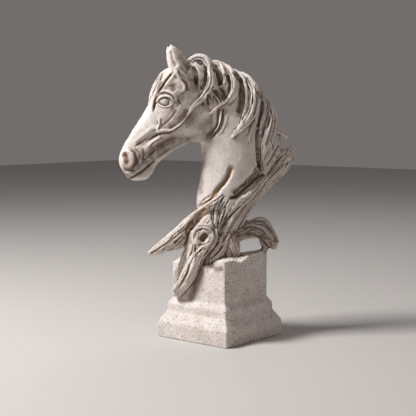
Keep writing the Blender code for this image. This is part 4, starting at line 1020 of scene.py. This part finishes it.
def lock_plans(sides):
    plans = []
    for side, table in ((1, NEAR_LOCKS), (-1, FAR_LOCKS)):
        for name, knots in table.items():
            line, normals = sides.drape(knots, side)
            width = line[:, 3]
            line[:, :3] += normals * (LOCK_LIFT * width)[:, None]
            rows = np.column_stack([line[:, :3], width, LOCK_THICKNESS * width + LOCK_LEAST, normals])
            plans.append({"name": name, "knots": rows, "twist": LOCK_TWIST * side})
    for knots in FORELOCK:
        plans.append({"name": "forelock", "knots": knots, "facing": HEAD_FRONT})
    return [dict(plan, **LOCK_FINISH) for plan in plans]


def wood_plans():
    corner = DIE_SIDE / math.sqrt(2) / GROWTH
    wood = dict(WOOD)
    for name, knots in ARCH.items():
        wood[name] = [(inward - corner,) + tuple(rest) for inward, *rest in knots]
    plans = [{"name": name, "knots": knots} for name, knots in wood.items()]
    face = DIE_SIDE / 2 / GROWTH
    half = math.sqrt(0.5)
    for name, (die_face, free, laid) in FACE_ROOTS.items():
        side = 1 if die_face == "-Y" else -1
        rows = list(free)
        for across, up, proud, width, thickness in laid:
            out = face + proud
            rows.append((half * (out - across), side * half * (out + across), up, width, thickness))
        plans.append({"name": name, "knots": rows, "facing": (half, side * half, 0.0)})
    return [dict(plan, **WOOD_FINISH) for plan in plans]


def eyes():
    return [ball("eye", mirrored(EYE, side), (EYE_RADIUS,) * 3) for side in BOTH_SIDES]


def ears():
    made = []
    for side, lean in ((1, 0.0), (-1, FAR_EAR_LEAN)):
        ear = [(f + lean * (z - EAR[0][2]), side * s, z, w, t) for f, s, z, w, t in EAR]
        made.append(limb("ear", ear))
    return made


def carve(skin):
    """Draws the face, the folds, the gaps between the locks and the grooves in the wood."""
    sides = Sides(skin.mesh)
    for side in BOTH_SIDES:
        skin.draw(sides, FACE_STROKES, side)
        width, depth, path = NOSTRIL
        skin.stroke(sides.drape(path, side, NOSTRIL_POINTS)[0], width, depth, taper=False)
        width, depth, path = EAR_HOLLOW
        skin.stroke(fair_curve([mirrored(spot, side) for spot in path], EAR_POINTS), width, depth)
    skin.draw(sides, NEAR_STROKES)
    width, height, path = KNOT_RIM
    skin.stroke(sides.drape(path, count=RIM_POINTS)[0], width, height, taper=False)
    width, depth, path = KNOT_HOLE
    hole = sides.drape(path)[0]
    skin.stroke(hole, width, depth)
    skin.write()
    width, depth, inset = KNOT_FLOOR
    skin.stroke(hole - SIDE * inset, width, depth)
    skin.write()


def moulded_block():
    """The plinth before its top broke: its outline turned in four steps, with rounded edges."""
    die = DIE_SIDE / 2
    fillet_foot = BAND_HEIGHT + SLOPE_HEIGHT
    fillet_top = fillet_foot + FILLET_HEIGHT
    outline = (
        (0.0, PLINTH_HEIGHT + CUT_SPARE),
        (die, PLINTH_HEIGHT + CUT_SPARE),
        (die, fillet_top + NECK_HEIGHT),
        (die + FILLET_PROJECTION, fillet_top),
        (die + FILLET_PROJECTION, fillet_foot),
        (die + BASE_PROJECTION, BAND_HEIGHT),
        (die + BASE_PROJECTION, 0.0),
        (0.0, 0.0),
    )
    points = [(half * math.sqrt(2) * MM, 0.0, up * MM) for half, up in outline]
    profile = bpy.data.meshes.new("plinth outline")
    profile.from_pydata(points, [(i, i + 1) for i in range(len(outline) - 1)], [])
    turning = {"angle": 2 * math.pi, "steps": 4, "render_steps": 4, "use_smooth_shade": False}
    block = modified(profile, "SCREW", use_merge_vertices=True, merge_threshold=WELD, **turning)
    block.transform(Matrix.Rotation(math.pi / 4, 4, "Z"))
    rounding = {"limit_method": "ANGLE", "angle_limit": EDGE_ANGLE, "segments": 2}
    return modified(block, "BEVEL", width=EDGE_ROUND * MM, **rounding)


def broken_top():
    """What has broken off the plinth: a slab over it whose underside is rough and dips at the breaks."""
    die = DIE_SIDE / 2
    form = bmesh.new()
    turn = Matrix.Rotation(CUT_TURN, 4, "Z")
    squares = {"x_segments": CUT_SQUARES, "y_segments": CUT_SQUARES}
    bmesh.ops.create_grid(form, size=(CUT_SHARE * die + CUT_MARGIN) * MM, matrix=turn, **squares)
    lifted = bmesh.ops.extrude_face_region(form, geom=list(form.faces))
    lid = {thing for thing in lifted["geom"] if isinstance(thing, bmesh.types.BMVert)}
    for vertex in form.verts:
        x, y = vertex.co.x / MM, vertex.co.y / MM
        up = PLINTH_HEIGHT + CUT_SPARE + CUT_MARGIN
        if vertex not in lid:
            up = PLINTH_HEIGHT + BREAK_ROUGHNESS * noise.noise(Vector((x, y, 0.0)) * BREAK_GRAIN)
            for depth, share_x, share_y, reach_x, reach_y in BREAK_DIPS:
                off_x = (x - share_x * die) / reach_x
                off_y = (y - share_y * die) / reach_y
                up -= depth * math.exp(-off_x * off_x - off_y * off_y)
        vertex.co.z = up * MM
    bmesh.ops.recalc_face_normals(form, faces=form.faces)
    return poured(form, bpy.data.meshes.new("broken off"))


def plinth():
    broken = added("broken off", broken_top())
    whole = modified(moulded_block(), "BOOLEAN", operation="DIFFERENCE", solver="EXACT", object=broken)
    bpy.data.objects.remove(broken)
    return whole


def averaged(values, edges, rounds):
    """Values spread over the mesh's edges, so many rounds."""
    count = np.bincount(edges.ravel(), minlength=len(values)).astype(float)
    count = np.maximum(count, 1).reshape((-1,) + (1,) * (values.ndim - 1))
    for _ in range(rounds):
        total = np.zeros_like(values)
        np.add.at(total, edges[:, 0], values[edges[:, 1]])
        np.add.at(total, edges[:, 1], values[edges[:, 0]])
        values = 0.5 * values + 0.5 * total / count
    return values


def hollows(mesh, rounds):
    """How far each vertex lies below the mean of the surface round it, in millimetres."""
    points, normals = surface_data(mesh)
    edges = np.empty(len(mesh.edges) * 2, np.int32)
    mesh.edges.foreach_get("vertices", edges)
    edges = edges.reshape(-1, 2)
    smooth = averaged(points, edges, rounds)
    return averaged(((smooth - points) * normals).sum(axis=1), edges, 1)


def near_to(points, meshes):
    """Distance of each point from the nearest of the meshes."""
    tree = tree_of(meshes)
    return np.array([tree.find_nearest(Vector(point) * MM)[3] / MM for point in points])


def paint(mesh, name, values):
    mesh.attributes.new(name, "FLOAT", "POINT").data.foreach_set("value", values.astype(np.float32))


def lumps(points, size, seed):
    """Fractal noise at each point, with lumps of this size."""
    offset = Vector([seed * share for share in LUMP_OFFSET])
    return np.array([noise.fractal(Vector(point) / size + offset, *LUMP_NOISE) for point in points])


def refined(mesh, spots):
    """The mesh with its edges halved inside balls given by centre and radius."""
    form = heaped([mesh])
    for forward, left, up, reach in spots:
        middle = Vector((forward, left, up)) * MM
        close = [edge for edge in form.edges
                 if all((vertex.co - middle).length < reach * MM for vertex in edge.verts)]
        bmesh.ops.subdivide_edges(form, edges=close, cuts=1, use_grid_fill=True)
        bmesh.ops.triangulate(form, faces=[face for face in form.faces if len(face.verts) > 3])
    return poured(form, mesh)


def carve_finely(skin):
    sides = Sides(skin.mesh)
    for side in BOTH_SIDES:
        skin.draw(sides, FINE_FACE, side)
    skin.draw(sides, FINE_NEAR)
    skin.write()


def on_skin(tree, line):
    """The stretches of a line that lie on the skin, as runs of points on it."""
    runs = [[]]
    for spot in line:
        found, _, _, gap = tree.find_nearest(Vector(spot) * MM)
        if gap < CUT_REACH * MM:
            runs[-1].append(tuple(found / MM))
        else:
            runs.append([])
    return [run for run in runs if len(run) > 2]


def cut_along(skin, plans, cuts, random):
    """Cuts grooves down the planned limbs, wherever the skin is their own surface."""
    spacing, reach, width, depth = cuts
    tree = Sides(skin.mesh).tree
    for plan in plans:
        for line in limb_lines(plan, spacing, reach, random):
            wide = width * random.uniform(*CUT_WIDTHS)
            deep = depth * random.uniform(*CUT_DEPTHS)
            for run in on_skin(tree, line):
                skin.stroke(run, wide, -deep)
    skin.write()


def iris_ring():
    """The stroke round the iris."""
    ring = []
    for turn in np.linspace(0.0, 2 * math.pi, IRIS_CORNERS):
        forward = EYE[0] + IRIS_FORWARD + IRIS_RADIUS * math.cos(turn)
        ring.append((forward, EYE[2] + IRIS_UP + IRIS_RADIUS * math.sin(turn)))
    return (*IRIS_STROKE, ring)


def open_eyes(mesh):
    """Cuts the lids and the iris of both eyes, on a mesh refined round them."""
    spots = [mirrored(spot, side) for spot in FINE_SPOTS for side in BOTH_SIDES]
    skin = Skin(refined(mesh, spots))
    sides = Sides(skin.mesh)
    ring_width, ring_height, ring = iris_ring()
    for side in BOTH_SIDES:
        skin.draw(sides, EYE_STROKES, side)
        skin.stroke(sides.drape(ring, side, IRIS_POINTS)[0], ring_width, ring_height, taper=False)
    skin.write()


def crevices(mesh):
    """How shut in each vertex is, from 0 in the open to 1: the share of short rays that hit the mesh."""
    points, normals = surface_data(mesh)
    tree = tree_of([mesh])
    golden = math.pi * (3 - math.sqrt(5))
    rays = []
    for k in range(CREVICE_RAYS):
        height = (k + 0.5) / CREVICE_RAYS
        flat = math.sqrt(1 - height * height)
        rays.append((flat * math.cos(golden * k), flat * math.sin(golden * k), height))
    rays = np.array(rays)
    across = unit(np.cross(normals, SLANT))
    along = np.cross(normals, across)
    shut = np.zeros(len(points))
    for i, (point, normal) in enumerate(zip(points, normals)):
        start = Vector(point + CREVICE_START * normal) * MM
        directions = rays[:, :1] * across[i] + rays[:, 1:2] * along[i] + rays[:, 2:] * normal
        for direction in directions:
            distance = tree.ray_cast(start, Vector(direction), CREVICE_REACH * MM)[3]
            if distance is not None:
                shut[i] += 1 - distance / (CREVICE_REACH * MM)
    return shut / CREVICE_RAYS


def in_cuts(strokes):
    """Patches of painted shade along the strokes that cut into the surface."""
    patches = []
    for width, height, path in strokes:
        if height < 0:
            strength = min(CUT_SHADE_LEAST - CUT_SHADE_DEPTH * height, 1.0)
            patches.append((width + CUT_SHADE_SPARE, strength, path))
    return patches


def painted(mesh, coats):
    """How much of a colour is on each vertex, from 0 to 1. A coat is its patches, firmness and sides."""
    points = surface_data(mesh)[0]
    sides = Sides(mesh)
    share = np.zeros(len(points))
    for patches, firmness, where in coats:
        for side in where:
            for width, strength, path in patches:
                near, weight = brushed(points, sides.drape(path, side)[0], width, taper=False)
                share[near] = np.maximum(share[near], strength * np.minimum(firmness * weight, 1))
    return share


def woodiness(points, wood, others):
    """How much of the driftwood each point is, from 0 to 1, in the plinth's frame."""
    off_wood = near_to(points, wood)
    timber = np.clip(0.5 - (off_wood - near_to(points, others)) / TIMBER_BLEND, 0, 1)
    low = np.clip((PLINTH_HEIGHT + TOP_BLEND - points[:, 2]) / TOP_BLEND, 0, 1)
    return timber * (1 - low * np.clip(off_wood / TIMBER_FADE - TIMBER_HOLD, 0, 1))


def weather(skin, timber):
    """Roughens the cast surface: soft lumps all over, pits in the wood, crumbs on the plinth's top."""
    points = skin.points
    edge = DIE_SIDE / 2 + CRUMB_SPARE
    inside = np.clip(edge - np.abs(points[:, :2]).max(axis=1), 0, CRUMB_BLEND) / CRUMB_BLEND
    drop = np.abs(points[:, 2] - PLINTH_HEIGHT + CRUMB_DROP)
    on_top = inside * np.clip(1 - drop / CRUMB_REACH, 0, 1)
    slope, level = CRUMB_UP
    on_top *= np.clip(skin.normals[:, 2] * slope + level, 0, 1) * (1 - timber)
    height = np.zeros(len(points))
    for lump, share in ((STONE_LUMPS, 1.0), (TIMBER_PITS, timber), (TOP_CRUMBS, on_top)):
        seed, size, depth = lump
        height += depth * lumps(points, size, seed) * share
    height[points[:, 2] < FLAT_BELOW] = 0.0
    skin.points = points + skin.normals * height[:, None]
    skin.write()


def brush_colours(mesh):
    """Paints the ochre painted shade and the brown painted shade, whose paths are in the figure's frame."""
    face_cuts = in_cuts(FINE_FACE + EYE_STROKES + (iris_ring(),))
    # Ochre painted shade in the deepest places
    paint(mesh, "ochre_shade", painted(mesh, (
        (FACE_OCHRE_SHADE, OCHRE_SHADE_FIRMNESS, BOTH_SIDES),
        (NEAR_OCHRE_SHADE, OCHRE_SHADE_FIRMNESS, NEAR_SIDE),
    )))
    # Brown painted shade over the shaded parts and in the cut lines
    paint(mesh, "painted_shade", painted(mesh, (
        (FACE_PAINTED_SHADE, SHADE_FIRMNESS, BOTH_SIDES),
        (NEAR_PAINTED_SHADE, SHADE_FIRMNESS, NEAR_SIDE),
        (face_cuts, CUT_FIRMNESS, BOTH_SIDES),
        (in_cuts(FINE_NEAR), CUT_FIRMNESS, NEAR_SIDE),
    )))


def measure_surface(mesh, wood, others):
    """Paints where the wood and the figure are, and how hollow and shut in each vertex is, for the painted
    shade.
    """
    points = surface_data(mesh)[0]
    timber = woodiness(points, wood, others)
    height = points[:, 2] - PLINTH_HEIGHT
    figure = np.maximum(timber, np.clip((height + FIGURE_BLEND) / FIGURE_BLEND, 0, 1))
    relief = PLINTH_HOLLOWS + (1 - PLINTH_HOLLOWS) * figure
    shelter = PLINTH_CREVICES + (1 - PLINTH_CREVICES) * figure
    paint(mesh, "timber", timber)
    paint(mesh, "figure", figure)
    # Hollows and crevices steer the painted shade and the painted highlights, with less of them on the
    # plinth
    paint(mesh, "fine_hollow", hollows(mesh, HOLLOW_ROUNDS) * relief * (1 + TIMBER_RELIEF * timber))
    paint(mesh, "crevice", crevices(mesh) * shelter)


def build():
    """The whole casting as one painted skin, in the plinth's frame."""
    core = body()
    hair_plans = lock_plans(Sides(core))
    timber_plans = wood_plans()
    hair = [limb(**plan) for plan in hair_plans]
    wood = [limb(**plan) for plan in timber_plans]
    others = [core] + hair + eyes() + ears()
    skin = Skin(fuse("figure", others + wood, CELL, 1))
    carve(skin)
    place = Matrix.Translation((0.0, 0.0, PLINTH_HEIGHT * MM))
    place = place @ Matrix.Scale(GROWTH, 4) @ Matrix.Rotation(FIGURE_TURN, 4, "Z")
    skin.mesh.transform(place)
    whole = fuse("sculpture", [skin.mesh, plinth()], CELL, 1)
    whole.transform(place.inverted())
    skin = Skin(whole)
    random = np.random.default_rng(SEED)
    cut_along(skin, hair_plans, HAIR_CUTS, random)
    for cuts in WOOD_CUTS:
        cut_along(skin, timber_plans, cuts, random)
    carve_finely(skin)
    for mesh in others + wood + [whole]:
        mesh.transform(place)
    skin.read()
    weather(skin, woodiness(skin.points, wood, others))
    whole = modified(skin.mesh, "DECIMATE", ratio=TRIANGLES / (2 * len(skin.mesh.polygons)))
    whole.transform(place.inverted())
    open_eyes(whole)
    brush_colours(whole)
    whole.transform(place)
    measure_surface(whole, wood, others)
    return whole


def matte(name, roughness):
    """A new material and its shader."""
    material = bpy.data.materials.new(name)
    material.use_nodes = True
    shader = material.node_tree.nodes["Principled BSDF"]
    shader.inputs["Roughness"].default_value = roughness
    return material, shader


class Recipe:
    """The nodes that a material's colour is mixed with."""

    def __init__(self, material):
        self.nodes = material.node_tree.nodes
        self.links = material.node_tree.links
        self.place = self.add("TexCoord", {}).outputs["Object"]

    def fill(self, socket, value):
        """Links another node's output to a socket, or sets a constant on it."""
        if isinstance(value, bpy.types.NodeSocket):
            self.links.new(value, socket)
        else:
            socket.default_value = value

    def add(self, kind, inputs, **settings):
        """A new node with these inputs and settings."""
        node = self.nodes.new("ShaderNode" + kind)
        for name, value in settings.items():
            setattr(node, name, value)
        for name, value in inputs.items():
            self.fill(node.inputs[name], value)
        return node

    def noise(self, scale, detail):
        return self.add("TexNoise", {"Vector": self.place, "Scale": scale, "Detail": detail})

    def ranged(self, value, low, high, to_low=0.0, to_high=1.0):
        """The value with one range of it drawn out to another."""
        limits = {"From Min": low, "From Max": high, "To Min": to_low, "To Max": to_high}
        return self.add("MapRange", {"Value": value, **limits}).outputs["Result"]

    def clouds(self, scale, detail, *limits):
        return self.ranged(self.noise(scale, detail).outputs["Fac"], *limits)

    def attribute(self, name):
        return self.add("Attribute", {}, attribute_name=name).outputs["Fac"]

    def product(self, first, *others):
        """The values multiplied together."""
        for other in others:
            first = self.add("Math", {0: first, 1: other}, operation="MULTIPLY").outputs[0]
        return first

    def mixed(self, factor, *colours):
        """The first colour passing into the second as the factor rises."""
        node = self.add("Mix", {"Factor": factor}, data_type="RGBA")
        sockets = [socket for socket in node.inputs if socket.type == "RGBA"]
        for socket, colour in zip(sockets, colours):
            self.fill(socket, colour)
        return [socket for socket in node.outputs if socket.type == "RGBA"][0]

    def coated(self, ground, name, low, high, strength, colour):
        """The ground under a coat that follows an attribute."""
        return self.mixed(self.ranged(self.attribute(name), low, high, 0.0, strength), ground, colour)

    def speckled(self, ground):
        """The ground with dark specks of several sizes, fewer of them seen on the figure."""
        stir = self.add("TexNoise", {"Vector": self.place, "Scale": SPECK_STIR}).outputs["Color"]
        shifts = {0: stir, 1: (SPECK_WANDER,) * 3, 2: self.place}
        wander = self.add("VectorMath", shifts, operation="MULTIPLY_ADD")
        kept = self.ranged(self.attribute("figure"), 0.0, 1.0, 1.0, SPECKS_ON_FIGURE)
        outside, inside = SPECK_EDGE
        for scale, radius, share, strength in SPECKS:
            cells = self.add("TexVoronoi", {"Vector": wander.outputs["Vector"], "Scale": scale})
            draw = self.add("SeparateColor", {"Color": cells.outputs["Color"]}).outputs["Red"]
            dots = self.ranged(cells.outputs["Distance"], radius + outside, radius + inside)
            chosen = self.ranged(draw, share + SPECK_CHOICE, share - SPECK_CHOICE, 0.0, strength)
            ground = self.mixed(self.product(dots, chosen, kept), ground, SPECK)
        return ground


def cast_stone():
    """Cast stone resin: pale ground, dark specks, browner timber, painted shade in hollows and painted
    highlights.
    """
    material, shader = matte("cast_stone_resin", ROUGHNESS)
    shader.inputs["Specular IOR Level"].default_value = SHINE
    recipe = Recipe(material)
    ground = recipe.mixed(recipe.clouds(*STONE_CLOUDS), STONE_PALE, STONE_DEEP)
    ground = recipe.coated(ground, *TIMBER_COAT)
    ground = recipe.mixed(recipe.clouds(*MOTTLE), ground, MOTTLE_AND_SHADE_BROWN)
    # Brown painted shade brushed over shaded parts and into cut lines, broken up by noise
    broken = recipe.product(recipe.attribute("painted_shade"), recipe.clouds(*SHADE_BREAKUP))
    ground = recipe.mixed(broken, ground, MOTTLE_AND_SHADE_BROWN)
    # Painted highlight on the crests, painted shade in crevices and hollows, then ochre painted shade
    for coat in COATS:
        ground = recipe.coated(ground, *coat)
    recipe.fill(shader.inputs["Base Color"], recipe.speckled(ground))
    grit = recipe.noise(*GRIT).outputs["Fac"]
    bump = recipe.add("Bump", {"Strength": GRIT_STRENGTH, "Distance": GRIT_HEIGHT, "Height": grit})
    recipe.fill(shader.inputs["Normal"], bump.outputs["Normal"])
    return material


def stand_off(name, data, middle, azimuth, elevation, distance):
    """Stands a lamp or a camera at a distance from a middle, facing it. Azimuth 0 is in front of -Y."""
    turn, lift = math.radians(azimuth), math.radians(elevation)
    away = Vector((math.sin(turn) * math.cos(lift), -math.cos(turn) * math.cos(lift), math.sin(lift)))
    holder = added(name, data)
    holder.location = middle + away * distance
    holder.rotation_mode = "QUATERNION"
    holder.rotation_quaternion = away.to_track_quat("Z", "Y")
    return holder


def soft_box(name, azimuth, elevation, distance, size, power, colour):
    """A square lamp on a sphere about the sculpture's middle."""
    lamp = bpy.data.lights.new(name, "AREA")
    lamp.size = size
    lamp.energy = power
    lamp.color = colour
    stand_off(name, lamp, Vector((0.0, 0.0, AIM_HEIGHT)), azimuth, elevation, distance)


def photographer():
    """The camera, standing where the photograph was taken."""
    turn = math.radians(CAMERA_AZIMUTH)
    right = Vector((math.cos(turn), math.sin(turn), 0.0))
    lens = bpy.data.cameras.new("camera")
    lens.sensor_width = SENSOR
    lens.lens = FOCAL_LENGTH
    middle = right * CAMERA_SIDE + Vector((0.0, 0.0, CAMERA_HEIGHT))
    camera = stand_off("camera", lens, middle, CAMERA_AZIMUTH, CAMERA_PITCH, CAMERA_DISTANCE)
    bpy.context.scene.camera = camera


def studio():
    """A pale floor that the sculpture stands on, pale surroundings and soft lamps."""
    form = bmesh.new()
    bmesh.ops.create_grid(form, x_segments=1, y_segments=1, size=FLOOR_SIZE / 2)
    floor = added("floor", poured(form, bpy.data.meshes.new("floor")))
    paper, shader = matte("pale_floor", FLOOR_ROUGHNESS)
    shader.inputs["Base Color"].default_value = FLOOR_COLOUR
    floor.data.materials.append(paper)
    surroundings = bpy.data.worlds.new("studio")
    surroundings.use_nodes = True
    background = surroundings.node_tree.nodes["Background"]
    background.inputs["Color"].default_value = AIR_COLOUR
    background.inputs["Strength"].default_value = AIR_STRENGTH
    bpy.context.scene.world = surroundings
    for lamp in LAMPS:
        soft_box(*lamp)


mesh = build()
mesh.shade_smooth()
mesh = modified(mesh, "WEIGHTED_NORMAL", mode="FACE_AREA", weight=NORMAL_WEIGHT)
mesh.name = "cast_sculpture"
mesh.materials.clear()
mesh.materials.append(cast_stone())
sculpture = added("cast_sculpture", mesh)
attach(sculpture, "root")
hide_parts("horse_head_sculpture")
photographer()
studio()
bpy.context.scene.view_settings.view_transform = "Standard"
print("triangles", sum(len(face.vertices) - 2 for face in mesh.polygons))
